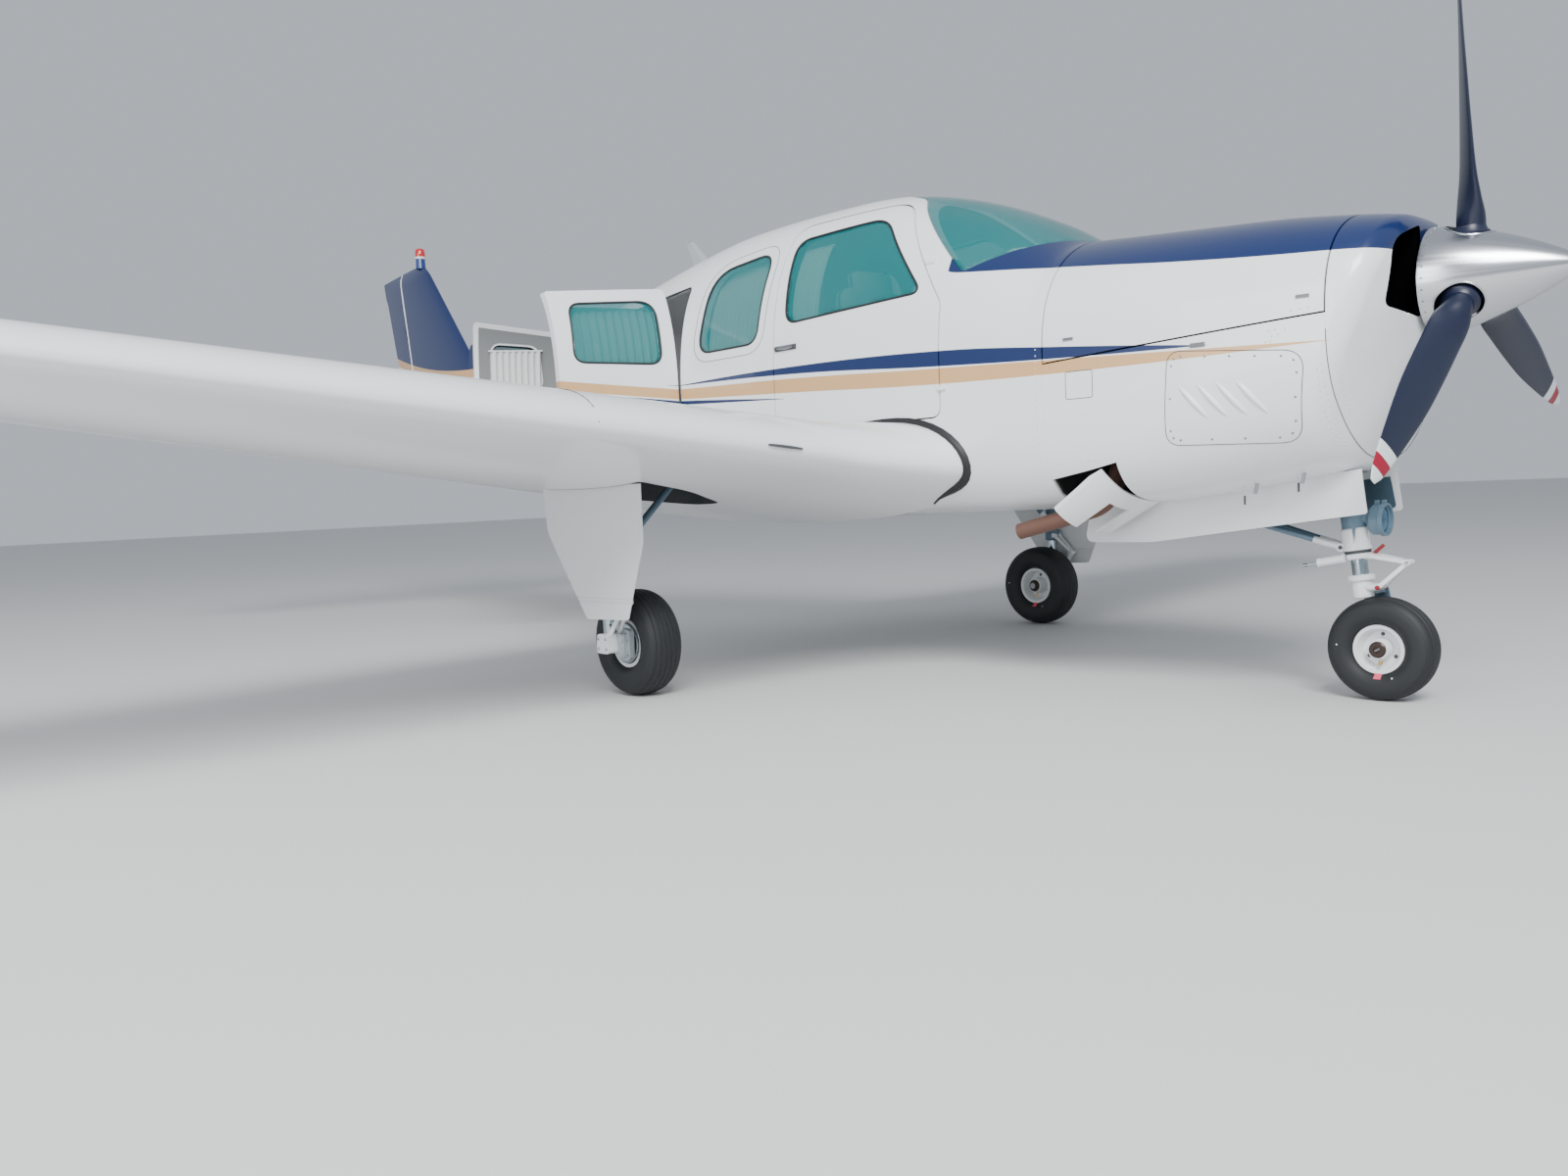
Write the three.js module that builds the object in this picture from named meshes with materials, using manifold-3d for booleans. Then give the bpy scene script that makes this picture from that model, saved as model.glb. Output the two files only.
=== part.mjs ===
// Six-seat single-engine low-wing light aircraft, parked on its lowered wheels.
// Millimetres, +X to the nose, +Y to the aircraft's left, +Z up, the ground at Z = 0.
import * as THREE from 'three';
import { mergeVertices } from 'three/addons/utils/BufferGeometryUtils.js';
import Module from 'manifold-3d';

const wasm = await Module();
wasm.setup();

// Driving dimensions of the whole aircraft
const HALF_LENGTH = 4131;         // from the middle to the spinner's tip, and to the rudder's rear corner
const HALF_SPAN = 5105;
const NOSE_WHEEL_X = 3529;
const MAIN_WHEEL_X = 1103;
const HALF_TRACK = 1428;
const HUB_Z = 1406;               // propeller axis above the ground
const PROP_X = 3809;              // plane of the blades
const GAP = 0.3;                  // between pieces that touch
const PIN_R = 5;                  // hinge pins
const ROUND = 20;                 // sides of a pin that turns in a bore, and of the bore
const SEAM = 6;                   // round doors, lids and control surfaces that move
const END_GAP = 14;               // beside control surfaces, which swing a little sideways

// Wall thicknesses
const CABIN_WALL = 40;
const COWL_SKIN = 8;
const TAIL_SKIN = 8;
const GLASS = 6;

// Stations along the fuselage
const FIREWALL_X = 2535;
const COWL_FRONT_X = 3540;        // seam between the cowl doors and the nose bowl
const BOWL_FRONT_X = 3690;
const TAIL_JOINT_X = -1400;       // cabin shell to tail cone
const CONE_END_X = -3620;

const white = { color: 0xf2f4f5, roughness: 0.28, metalness: 0.0 };
const blue = { color: 0x12318c, roughness: 0.2, metalness: 0.1 };
const bareMetal = { color: 0xb9bcc0, roughness: 0.22, metalness: 1.0 };
const gearPaint = { color: 0xdfe3e4, roughness: 0.45, metalness: 0.0 };
const bladeBlack = { color: 0x10152b, roughness: 0.35, metalness: 0.1 };
const rubber = { color: 0x141414, roughness: 0.85, metalness: 0.0 };
const tint = { color: 0x1f8f8a, roughness: 0.05, metalness: 0.0, transparent: true, opacity: 0.45 };
const rust = { color: 0x7a5548, roughness: 0.7, metalness: 0.6 };
const engineGrey = { color: 0x55585c, roughness: 0.6, metalness: 0.5 };
const trimGrey = { color: 0xa9adab, roughness: 0.8, metalness: 0.0 };
const cloth = { color: 0x8fa3a6, roughness: 0.95, metalness: 0.0 };
const red = { color: 0xa01020, roughness: 0.2, metalness: 0.0 };

const SMOOTH = 0.1;                // slivers thinner than this are merged away

const aircraft = new THREE.Group();

// Solids: a closed three.js geometry becomes a manifold, facing outwards
function solid(geometry) {
  const bare = geometry.clone();
  for (const name of Object.keys(bare.attributes)) if (name !== 'position') bare.deleteAttribute(name);
  const merged = mergeVertices(bare, 1e-3);
  const place = merged.attributes.position.array;
  const triangles = [];
  const index = merged.index.array;
  let volume = 0;
  for (let i = 0; i < index.length; i += 3) {
    const [a, b, c] = [index[i], index[i + 1], index[i + 2]];
    if (a === b || b === c || a === c) continue;
    triangles.push(a, b, c);
    const [p, q, r] = [a, b, c].map((k) => new THREE.Vector3().fromArray(place, 3 * k));
    volume += p.dot(q.cross(r));
  }
  if (volume < 0) for (let i = 0; i < triangles.length; i += 3) {
    [triangles[i], triangles[i + 1]] = [triangles[i + 1], triangles[i]];
  }
  return new wasm.Manifold(new wasm.Mesh({
    numProp: 3,
    vertProperties: new Float32Array(place),
    triVerts: new Uint32Array(triangles),
  }));
}

// Adds one named mesh, at a turn about a pivot when the piece is stored open
function piece(name, shape, look, stored = null) {
  const mesh = shape.simplify(SMOOTH).getMesh();
  const geometry = new THREE.BufferGeometry();
  geometry.setAttribute('position', new THREE.BufferAttribute(new Float32Array(mesh.vertProperties), 3));
  geometry.setIndex([...mesh.triVerts]);
  geometry.computeVertexNormals();
  const node = new THREE.Mesh(geometry, new THREE.MeshStandardMaterial(look));
  node.name = name;
  if (stored) {
    const { pivot, axis, degrees } = stored;
    geometry.translate(-pivot.x, -pivot.y, -pivot.z);
    node.position.copy(pivot);
    node.setRotationFromAxisAngle(axis.clone().normalize(), THREE.MathUtils.degToRad(degrees));
  }
  aircraft.add(node);
}

const vec = (x, y, z) => new THREE.Vector3(x, y, z);
const union = (...shapes) => shapes.reduce((whole, next) => whole.add(next));
const SIDES = [['left', 1], ['right', -1]];

function box(x0, x1, y0, y1, z0, z1) {
  const geometry = new THREE.BoxGeometry(x1 - x0, Math.abs(y1 - y0), z1 - z0);
  geometry.translate((x0 + x1) / 2, (y0 + y1) / 2, (z0 + z1) / 2);
  return solid(geometry);
}

// Radius of a many-sided bore that a pin of the same number of sides can turn in
const boreFor = (radius, sides = ROUND) => (radius + GAP) / Math.cos(Math.PI / sides);

// Rod, pin or cone between two points
function rod(a, b, radiusA, radiusB = radiusA, sides = 10) {
  const along = b.clone().sub(a);
  const geometry = new THREE.CylinderGeometry(radiusB, radiusA, along.length(), sides);
  const turn = new THREE.Quaternion().setFromUnitVectors(vec(0, 1, 0), along.clone().normalize());
  geometry.applyQuaternion(turn);
  geometry.translate(...a.clone().add(b).multiplyScalar(0.5).toArray());
  return solid(geometry);
}

function ball(centre, radius) {
  const geometry = new THREE.SphereGeometry(radius, 8, 5);
  geometry.translate(centre.x, centre.y, centre.z);
  return solid(geometry);
}

// Profile of [radius, height] pairs turned about an axis through a point
function turned(profile, origin, axis, sides = 32) {
  const geometry = new THREE.LatheGeometry(profile.map(([r, h]) => new THREE.Vector2(r, h)), sides);
  geometry.applyQuaternion(new THREE.Quaternion().setFromUnitVectors(vec(0, 1, 0), axis));
  geometry.translate(origin.x, origin.y, origin.z);
  return solid(geometry);
}

// Outline with each corner rounded by its radius, as a three.js shape
function outline(corners) {
  const shape = new THREE.Shape();
  corners.forEach(([x, z, radius = 0], i) => {
    const before = corners[(i + corners.length - 1) % corners.length];
    const after = corners[(i + 1) % corners.length];
    const here = new THREE.Vector2(x, z);
    const back = new THREE.Vector2(before[0], before[1]).sub(here).setLength(radius).add(here);
    const ahead = new THREE.Vector2(after[0], after[1]).sub(here).setLength(radius).add(here);
    if (i === 0) shape.moveTo(back.x, back.y);
    else shape.lineTo(back.x, back.y);
    if (radius > 0) shape.quadraticCurveTo(x, z, ahead.x, ahead.y);
  });
  shape.closePath();
  return shape;
}

// The outline moved inwards (or outwards when negative) by a distance on every side
function shrink(corners, distance) {
  let area = 0;
  corners.forEach(([x, z], i) => {
    const [nx, nz] = corners[(i + 1) % corners.length];
    area += x * nz - nx * z;
  });
  const inward = Math.sign(area) * distance;
  return corners.map(([x, z, radius = 0], i) => {
    const [px, pz] = corners[(i + corners.length - 1) % corners.length];
    const [nx, nz] = corners[(i + 1) % corners.length];
    const a = new THREE.Vector2(x - px, z - pz).normalize();
    const b = new THREE.Vector2(nx - x, nz - z).normalize();
    const cross = a.x * b.y - a.y * b.x;
    const ax = -a.y * inward, az = a.x * inward, bx = -b.y * inward, bz = b.x * inward;
    if (Math.abs(cross) < 1e-6) return [x + ax, z + az, radius];
    const t = ((bx - ax) * b.y - (bz - az) * b.x) / cross;
    return [x + ax + a.x * t, z + az + a.y * t, Math.max(radius - distance, radius > 0 ? 2 : 0)];
  });
}

// Prism of a side-view outline (x, z), from y0 to y1
function prismY(corners, y0, y1) {
  const options = { depth: Math.abs(y1 - y0), bevelEnabled: false, curveSegments: 2 };
  const geometry = new THREE.ExtrudeGeometry(outline(corners), options);
  geometry.applyMatrix4(new THREE.Matrix4().makeBasis(vec(1, 0, 0), vec(0, 0, 1), vec(0, -1, 0)));
  geometry.translate(0, Math.max(y0, y1), 0);
  return solid(geometry);
}

// Prism of a front-view outline (y, z), from x0 to x1
function prismX(corners, x0, x1) {
  const options = { depth: x1 - x0, bevelEnabled: false, curveSegments: 2 };
  const geometry = new THREE.ExtrudeGeometry(outline(corners), options);
  geometry.applyMatrix4(new THREE.Matrix4().makeBasis(vec(0, 1, 0), vec(0, 0, 1), vec(1, 0, 0)));
  geometry.translate(x0, 0, 0);
  return solid(geometry);
}

// Prism of a plan-view outline (x, y), from z0 to z1
function prismZ(corners, z0, z1) {
  const options = { depth: z1 - z0, bevelEnabled: false, curveSegments: 2 };
  const geometry = new THREE.ExtrudeGeometry(outline(corners), options);
  geometry.translate(0, 0, z0);
  return solid(geometry);
}

// Skin over a row of equal rings; point k of a ring mirrors its point n - 1 - k, which closes the ends
function loft(rings) {
  const n = rings[0].length;
  const positions = rings.flatMap((ring) => ring.flatMap((p) => [p.x, p.y, p.z]));
  const index = [];
  for (let i = 0; i + 1 < rings.length; i += 1) for (let k = 0; k < n; k += 1) {
    const a = i * n + k, b = i * n + (k + 1) % n;
    index.push(a, b, a + n, b, b + n, a + n);
  }
  const last = (rings.length - 1) * n;
  for (let k = 0; k < n / 2 - 1; k += 1) {
    const [a, b, c, d] = [k, k + 1, n - 2 - k, n - 1 - k];
    index.push(a, c, b, a, d, c);
    index.push(last + a, last + b, last + c, last + a, last + c, last + d);
  }
  const geometry = new THREE.BufferGeometry();
  geometry.setAttribute('position', new THREE.Float32BufferAttribute(positions, 3));
  geometry.setIndex(index);
  return solid(geometry);
}

// Fuselage sections from the nose to the tail.
// Each is a rounded box: its power sets how square it is above and below its widest height.
const COLUMNS = ['x', 'bottom', 'top', 'half', 'wide', 'upper', 'lower'];
const FUSELAGE = [
  [3700, 885, 1612, 405, 1300, 2.6, 2.2],
  [3640, 850, 1630, 440, 1300, 2.6, 2.4],
  [3540, 812, 1648, 475, 1290, 2.6, 2.8],
  [3300, 770, 1682, 510, 1280, 2.5, 3.2],
  [2950, 725, 1712, 540, 1280, 2.4, 3.8],
  [2535, 700, 1748, 560, 1280, 2.3, 4.5],
  [2466, 699, 1757, 561, 1280, 2.3, 4.5],
  [2246, 696, 1888, 564, 1290, 2.3, 4.5],
  [1949, 695, 2022, 566, 1300, 2.35, 4.5],
  [1629, 695, 2112, 567, 1300, 2.4, 4.5],
  [1300, 695, 2143, 568, 1300, 2.45, 4.5],
  [600, 698, 2141, 566, 1300, 2.45, 4.5],
  [200, 705, 2092, 556, 1300, 2.45, 4.3],
  [-250, 722, 2018, 528, 1300, 2.4, 4.0],
  [-900, 775, 1925, 462, 1310, 2.3, 3.4],
  [-1400, 840, 1868, 398, 1320, 2.2, 3.0],
  [-2100, 950, 1800, 300, 1350, 2.1, 2.6],
  [-2900, 1085, 1738, 186, 1400, 2.0, 2.3],
  [-3620, 1215, 1700, 62, 1440, 2.0, 2.0],
].map((row) => Object.fromEntries(COLUMNS.map((name, i) => [name, row[i]])));
const RING = 24;

// A section's values at any station, on a smooth curve through the table
function station(x) {
  const rows = FUSELAGE;
  let i = 0;
  while (i < rows.length - 2 && x < rows[i + 1].x) i += 1;
  const [p0, p1] = [rows[Math.max(i - 1, 0)], rows[i]];
  const [p2, p3] = [rows[i + 1], rows[Math.min(i + 2, rows.length - 1)]];
  const t = THREE.MathUtils.clamp((x - p1.x) / (p2.x - p1.x), 0, 1);
  const value = { x };
  for (const name of COLUMNS.slice(1)) {
    const span = p2.x - p1.x;
    const m1 = p0 === p1 ? (p2[name] - p1[name]) : span * (p2[name] - p0[name]) / (p2.x - p0.x);
    const m2 = p3 === p2 ? (p2[name] - p1[name]) : span * (p3[name] - p1[name]) / (p3.x - p1.x);
    const [t2, t3] = [t * t, t * t * t];
    value[name] = (2 * t3 - 3 * t2 + 1) * p1[name] + (t3 - 2 * t2 + t) * m1
      + (3 * t2 - 2 * t3) * p2[name] + (t3 - t2) * m2;
  }
  return value;
}

function section(x, inset) {
  const s = station(x);
  return Array.from({ length: RING }, (_, k) => {
    const angle = 2 * Math.PI * (k + 0.5) / RING;
    const power = Math.cos(angle) > 0 ? s.upper : s.lower;
    const reach = Math.cos(angle) > 0 ? s.top - s.wide - inset : s.wide - s.bottom - inset;
    const curve = (v) => Math.sign(v) * Math.abs(v) ** (2 / power);
    return vec(x, (s.half - inset) * curve(Math.sin(angle)), s.wide + reach * curve(Math.cos(angle)));
  });
}

// Solid body of the fuselage between two stations, its skin set in by a distance
function hull(xRear, xFront, inset = 0) {
  const inner = FUSELAGE.map((row) => row.x).filter((x) => x > xRear + 20 && x < xFront - 20);
  const halfway = [2356, 1789].filter((x) => x > xRear + 20 && x < xFront - 20);
  const stations = [xFront, ...inner, ...halfway, xRear].sort((a, b) => b - a);
  return loft(stations.map((x) => section(x, inset)));
}

const shell = (xRear, xFront, wall) => hull(xRear, xFront).subtract(hull(xRear - 1, xFront + 1, wall));

// Spinner, hub and three blades, which turn together about the X axis
const SPINNER_REAR_X = 3702;
const SPINNER_R = 178;
const SPINNER_LENGTH = HALF_LENGTH - SPINNER_REAR_X;
const SPINNER_WALL = 8;
const SPINNER_PLATE = 10;         // thickness of the plate that closes it behind
const HUB_R = 98;
const SHAFT_R = 55;
const SHAFT_REAR_X = 3570;        // the boss of the engine ends here
const hub = vec(PROP_X, 0, HUB_Z);
// Profile of the spinner from its rear edge to its tip: radius and distance
const spinnerShape = (grow) => Array.from({ length: 7 }, (_, i) => {
  const along = i / 6;
  const radius = (SPINNER_R + grow) * (1 - along ** 1.4) ** 0.85;
  return [Math.max(0, radius), along * (SPINNER_LENGTH + grow)];
});
const spinnerProfile = [
  [HUB_R + GAP, 0], ...spinnerShape(0).slice(0, 6), [0, SPINNER_LENGTH],
  [0, SPINNER_LENGTH - 34], ...spinnerShape(-SPINNER_WALL).slice(1, 5).reverse(),
  [SPINNER_R - SPINNER_WALL - 2, SPINNER_PLATE], [HUB_R + GAP, SPINNER_PLATE], [HUB_R + GAP, 0],
];
let spinner = turned(spinnerProfile, vec(SPINNER_REAR_X, 0, HUB_Z), vec(1, 0, 0), ROUND);

// Blade stations: radius from the hub, chord, thickness, pitch in degrees
const BLADE = [
  [95, 84, 84, 70], [190, 96, 78, 52], [245, 118, 50, 44], [330, 128, 34, 34], [480, 134, 24, 28],
  [640, 130, 18, 24], [800, 104, 13, 20], [930, 72, 10, 18], [990, 50, 7, 18], [1030, 20, 4, 18],
];
const BLADE_ANGLES = [-8.2, 111.8, 231.8];   // from straight up, towards the left wing
// One blade, straight up from the middle of the hub
function blade() {
  return loft(BLADE.map(([radius, chord, thick, pitch]) => {
    const turn = THREE.MathUtils.degToRad(90 - pitch);
    return Array.from({ length: 10 }, (_, k) => {
      const angle = 2 * Math.PI * (k + 0.5) / 10;
      const [u, v] = [chord / 2 * Math.cos(angle), thick / 2 * Math.sin(angle)];
      return vec(u * Math.cos(turn) - v * Math.sin(turn), -u * Math.sin(turn) - v * Math.cos(turn), radius);
    });
  }));
}
const onShaft = (x) => vec(x, 0, HUB_Z);
let propeller = rod(onShaft(PROP_X - 100), onShaft(PROP_X + 75), HUB_R, HUB_R, ROUND);
propeller = propeller.add(rod(onShaft(SHAFT_REAR_X + GAP), onShaft(PROP_X - 90), SHAFT_R, SHAFT_R, 14));
for (const degrees of BLADE_ANGLES) {
  const place = new THREE.Matrix4().makeTranslation(hub.x, hub.y, hub.z)
    .multiply(new THREE.Matrix4().makeRotationX(THREE.MathUtils.degToRad(-degrees)));
  propeller = propeller.add(blade().transform(place.elements));
  const hole = rod(vec(0, 0, 80), vec(0, 0, 230), 66, 74, 10).transform(place.elements);
  spinner = spinner.subtract(hole);
}
piece('propeller', propeller, bladeBlack);
piece('spinner', spinner, bareMetal);

// Engine: one plain block on the firewall, with the boss that carries the propeller shaft
const ENGINE = { front: 3500, half: 330, low: 1070, high: 1570 };
const engine = box(FIREWALL_X + 8 + GAP, ENGINE.front, -ENGINE.half, ENGINE.half, ENGINE.low, ENGINE.high)
  .add(rod(vec(ENGINE.front - 20, 0, HUB_Z), vec(SHAFT_REAR_X, 0, HUB_Z), 90, 90, 16));
piece('engine_block', engine, engineGrey);
const STACK = [vec(2745, 300, 1100), vec(2680, 345, 712), vec(2289, 385, 616)];
for (const [side, sign] of SIDES) {
  const at = STACK.map((p) => vec(p.x, sign * p.y, p.z));
  const stack = union(rod(at[0], at[1], 32), ball(at[1], 32.2), rod(at[1], at[2], 32));
  const bore = rod(at[1].clone().lerp(at[2], 0.5), at[2].clone().lerp(at[1], -0.05), 28);
  const top = box(2600, 2800, sign * 200, sign * 400, ENGINE.low - GAP, 1160);
  piece(`exhaust_${side}`, stack.subtract(bore).subtract(top), rust);
}
const stackRoom = box(2500, 2600, -200, 200, 600, 960);
piece('firewall', hull(FIREWALL_X, FIREWALL_X + 8, COWL_SKIN + GAP).subtract(stackRoom), trimGrey);

// Front of the nose: leans back towards the chin and is bowed across.
// Each row: height, foremost distance in the middle, how far it falls back 400 beside the middle
const NOSE_FRONT = [
  [600, 3455, 70], [830, 3540, 80], [900, 3575, 85], [1000, 3612, 92], [1100, 3650, 90], [1200, 3680, 80],
  [1300, 3700, 60], [1420, 3705, 45], [1800, 3705, 45],
];
const NOSE_ACROSS = [20, 120, 210, 300, 390, 480, 620];
const noseForm = (inset) => loft(NOSE_FRONT.map(([z, front, fall]) => {
  const half = NOSE_ACROSS.map((y) => vec(front - inset * 1.1 - fall * (y / 400) ** 2, y, z));
  half.push(vec(2000, 620, z));
  return [...half, ...half.slice().reverse().map((p) => vec(p.x, -p.y, p.z))];
}));

// Nose bowl: closed chin and two air inlets, and the fixed spine between the cowl doors
const SPINE_HALF = 58;
const DOOR_SILL = [[FIREWALL_X, 1241], [COWL_FRONT_X, 1300]];   // lower edge of the cowl doors
const BOWL_EDGE = 40;             // length of its rounded front edge
let bowl = loft([
  section(BOWL_FRONT_X, 14), section(BOWL_FRONT_X - 14, 3),
  section(BOWL_FRONT_X - BOWL_EDGE, 0), section(COWL_FRONT_X, 0),
]).intersect(noseForm(0));
bowl = bowl.subtract(loft([
  section(BOWL_FRONT_X - 10, 22), section(BOWL_FRONT_X - BOWL_EDGE, COWL_SKIN),
  section(COWL_FRONT_X - 1, COWL_SKIN),
]).intersect(noseForm(COWL_SKIN)));
bowl = bowl.subtract(rod(vec(ENGINE.front, 0, HUB_Z), vec(3800, 0, HUB_Z), 120, 120, 20));
const INLET = [[108, 1287, 20], [318, 1316, 30], [312, 1520, 70], [200, 1558, 30], [108, 1583, 20]];
for (const [, sign] of SIDES) {
  bowl = bowl.subtract(prismX(INLET.map(([y, z, radius]) => [sign * y, z, radius]), 3560, 3800));
}
const spine = shell(FIREWALL_X + 8 + GAP, COWL_FRONT_X + 1, COWL_SKIN)
  .intersect(box(FIREWALL_X, COWL_FRONT_X + 2, -SPINE_HALF, SPINE_HALF, 1500, 1800));
piece('nose_bowl', bowl.add(spine), white);

// Cowl: fixed lower half with the nose gear's bay, and two doors hinged along the spine
const cowl = hull(FIREWALL_X + GAP, COWL_FRONT_X - GAP).intersect(noseForm(0))
  .subtract(hull(FIREWALL_X - 1, COWL_FRONT_X + 1, COWL_SKIN).intersect(noseForm(COWL_SKIN)));
const [[sillRearX, sillRearZ], [sillFrontX, sillFrontZ]] = DOOR_SILL;
const belowSill = (drop) => prismY([[sillRearX - 90, 600], [sillFrontX + 90, 600],
  [sillFrontX + 90, sillFrontZ + 5 - drop], [sillRearX - 90, sillRearZ - 5 - drop]], -700, 700);
const BAY_HALF = 150;
const BAY = { front: 3474, wall: 8, beamRear: 2700, beam: 12, top: 960 };
const FLAP_HINGE_X = 2800;
const FLAP_HINGE_Z = 718;
const STACK_NOTCH = { front: 2724, inner: 296, outer: 410 };   // the stacks pass through the flaps here
const COWL_FLAP = { rear: FIREWALL_X + 20, front: FLAP_HINGE_X, inner: 200, outer: 500 };
const carriesBay = hull(FIREWALL_X + 8, COWL_FRONT_X - GAP, 4).intersect(noseForm(4));
let lowerCowl = cowl.intersect(belowSill(0));
lowerCowl = lowerCowl.subtract(box(2400, BAY.front, -BAY_HALF, BAY_HALF, 600, 1000));
for (const [, sign] of SIDES) {
  lowerCowl = lowerCowl.subtract(box(COWL_FLAP.rear - SEAM - 40, COWL_FLAP.front + SEAM,
    sign * (COWL_FLAP.inner - SEAM), sign * (COWL_FLAP.outer + SEAM), 600, 900));
  const beam = box(BAY.beamRear, BAY.front, sign * BAY_HALF, sign * (BAY_HALF + BAY.beam), 700, BAY.top);
  lowerCowl = lowerCowl.add(beam.intersect(carriesBay));
}
const bayReach = BAY_HALF + BAY.beam;
const bayFront = box(BAY.front - BAY.wall, BAY.front, -bayReach, bayReach, 700, BAY.top);
lowerCowl = lowerCowl.add(bayFront.intersect(carriesBay));
piece('cowl_lower', lowerCowl, white);
for (const [side, sign] of SIDES) {
  const door = cowl.subtract(belowSill(-SEAM)).intersect(box(FIREWALL_X + SEAM, COWL_FRONT_X - SEAM,
    sign * (SPINE_HALF + SEAM), sign * 700, 1200, 1800));
  piece(`cowl_door_${side}`, door, white);
  const { rear, front, inner, outer } = COWL_FLAP;
  const notch = box(2400, STACK_NOTCH.front, sign * STACK_NOTCH.inner, sign * STACK_NOTCH.outer, 600, 860);
  const flap = cowl.intersect(box(rear, front, sign * inner, sign * outer, 600, 860)).subtract(notch);
  const onHinge = (y) => vec(FLAP_HINGE_X, sign * y, FLAP_HINGE_Z);
  const pin = rod(onHinge(inner - SEAM + GAP), onHinge(inner + 40), PIN_R);
  const stored = { pivot: onHinge(0), axis: vec(0, 1, 0), degrees: -25 };
  piece(`cowl_flap_${side}`, flap.add(pin), white, stored);
}

// Cabin openings in side view, each corner with its rounding radius
const WINDSHIELD = [
  [2125, 1652, 30], [2560, 1788], [2560, 2400], [1390, 2400], [1452, 2150], [1735, 2052, 50],
];
const CABIN_DOOR = [
  [2046, 1090, 45], [2046, 1540, 20], [1715, 2040, 110], [1075, 2040, 70], [1075, 1090, 45],
];
const DOOR_WINDOW = [[1945, 1600, 60], [1640, 1975, 90], [1125, 1965, 70], [1150, 1575, 70]];
const MID_WINDOW = [[955, 1512, 80], [985, 1945, 120], [560, 1905, 130], [515, 1512, 90]];
const CARGO_FRONT = [[365, 1130, 20], [365, 1870, 30], [-262, 1830, 20], [-262, 1130, 20]];
const CARGO_FRONT_WINDOW = [[285, 1478, 70], [290, 1800, 90], [-165, 1768, 60], [-180, 1478, 60]];
const CARGO_REAR = [[-272, 1130, 20], [-272, 1826, 20], [-790, 1755, 30], [-790, 1130, 20]];
const CARGO_REAR_WINDOW = [[-370, 1470, 50], [-370, 1710, 50], [-620, 1690, 60], [-640, 1470, 50]];
const AFT_LIMIT = 900;
const through = (corners, sign, grow = 0) => prismY(shrink(corners, -grow), sign * 90, sign * AFT_LIMIT);

const CABIN_FRONT_X = FIREWALL_X - GAP;
let cabin = shell(TAIL_JOINT_X, CABIN_FRONT_X, CABIN_WALL);
cabin = cabin.subtract(prismY(WINDSHIELD, -AFT_LIMIT, AFT_LIMIT));
cabin = cabin.subtract(through(CABIN_DOOR, -1, SEAM)).subtract(through(MID_WINDOW, -1));
cabin = cabin.subtract(through(CARGO_FRONT, -1, SEAM)).subtract(through(CARGO_REAR, -1, SEAM));
for (const window of [DOOR_WINDOW, MID_WINDOW, CARGO_FRONT_WINDOW, CARGO_REAR_WINDOW]) {
  cabin = cabin.subtract(through(window, 1));
}

const GLASS_INSET = 3;
const pane = shell(TAIL_JOINT_X + 20, CABIN_FRONT_X - 20, GLASS_INSET + GLASS)
  .intersect(hull(TAIL_JOINT_X, CABIN_FRONT_X, GLASS_INSET));
piece('windshield', pane.intersect(prismY(shrink(WINDSHIELD, GAP), -AFT_LIMIT, AFT_LIMIT)), tint);
const glassIn = (window, sign) => pane.intersect(through(window, sign, -GAP));
const LEFT_WINDOWS = {
  front: DOOR_WINDOW, middle: MID_WINDOW, third: CARGO_FRONT_WINDOW, rear: CARGO_REAR_WINDOW,
};
for (const [name, window] of Object.entries(LEFT_WINDOWS)) {
  piece(`window_left_${name}`, glassIn(window, 1), tint);
}
piece('window_right_middle', glassIn(MID_WINDOW, -1), tint);

// Doors on the right side, each as thick as the wall, turning about an upright axis at its hinged edge
const wall = shell(TAIL_JOINT_X + 20, CABIN_FRONT_X - 20, CABIN_WALL);
const DOORS = [
  { name: 'cabin_door', glass: 'window_cabin_door', edge: CABIN_DOOR, window: DOOR_WINDOW,
    hinge: vec(2049, -575.8, 1300), lean: 0.07, knuckles: [1180, 1450], fixedSide: 1, open: 0 },
  { name: 'cargo_door_front', glass: 'window_cargo_front', edge: CARGO_FRONT, window: CARGO_FRONT_WINDOW,
    hinge: vec(368, -568, 1500), lean: 0, knuckles: [1180, 1420], fixedSide: 1, open: 82 },
  { name: 'cargo_door_rear', glass: 'window_cargo_rear', edge: CARGO_REAR, window: CARGO_REAR_WINDOW,
    hinge: vec(-793, -482, 1500), lean: 0, knuckles: [1180, 1420], fixedSide: -1, open: -112 },
];
const KNUCKLE = { length: 30, radius: 5.5, web: 20, depth: 28 };
// Half of a door hinge: a barrel on the leaning hinge line, with the web that carries it on one side
function knuckle({ hinge, lean }, height, side) {
  const at = (z) => vec(hinge.x, hinge.y + lean * (z - hinge.z), z);
  const [low, high] = [at(height), at(height + KNUCKLE.length)];
  const [x0, x1] = [hinge.x, hinge.x + side * KNUCKLE.web].sort((p, q) => p - q);
  return rod(low, high, KNUCKLE.radius, KNUCKLE.radius, 8)
    .add(box(x0, x1, high.y - 2, high.y + KNUCKLE.depth, height + 1, height + KNUCKLE.length - 1));
}
for (const door of DOORS) {
  const stored = { pivot: door.hinge, axis: vec(0, 0, 1), degrees: door.open };
  let leaf = wall.intersect(through(door.edge, -1)).subtract(through(door.window, -1));
  for (const height of door.knuckles) {
    leaf = leaf.add(knuckle(door, height, -door.fixedSide));
    cabin = cabin.add(knuckle(door, height + KNUCKLE.length + GAP, door.fixedSide));
  }
  piece(door.name, leaf, white, stored);
  piece(door.glass, glassIn(door.window, -1), tint, stored);
}

// Tail cone: thin skin, open to the cabin
let tailCone = shell(CONE_END_X, TAIL_JOINT_X - GAP, TAIL_SKIN);

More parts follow.
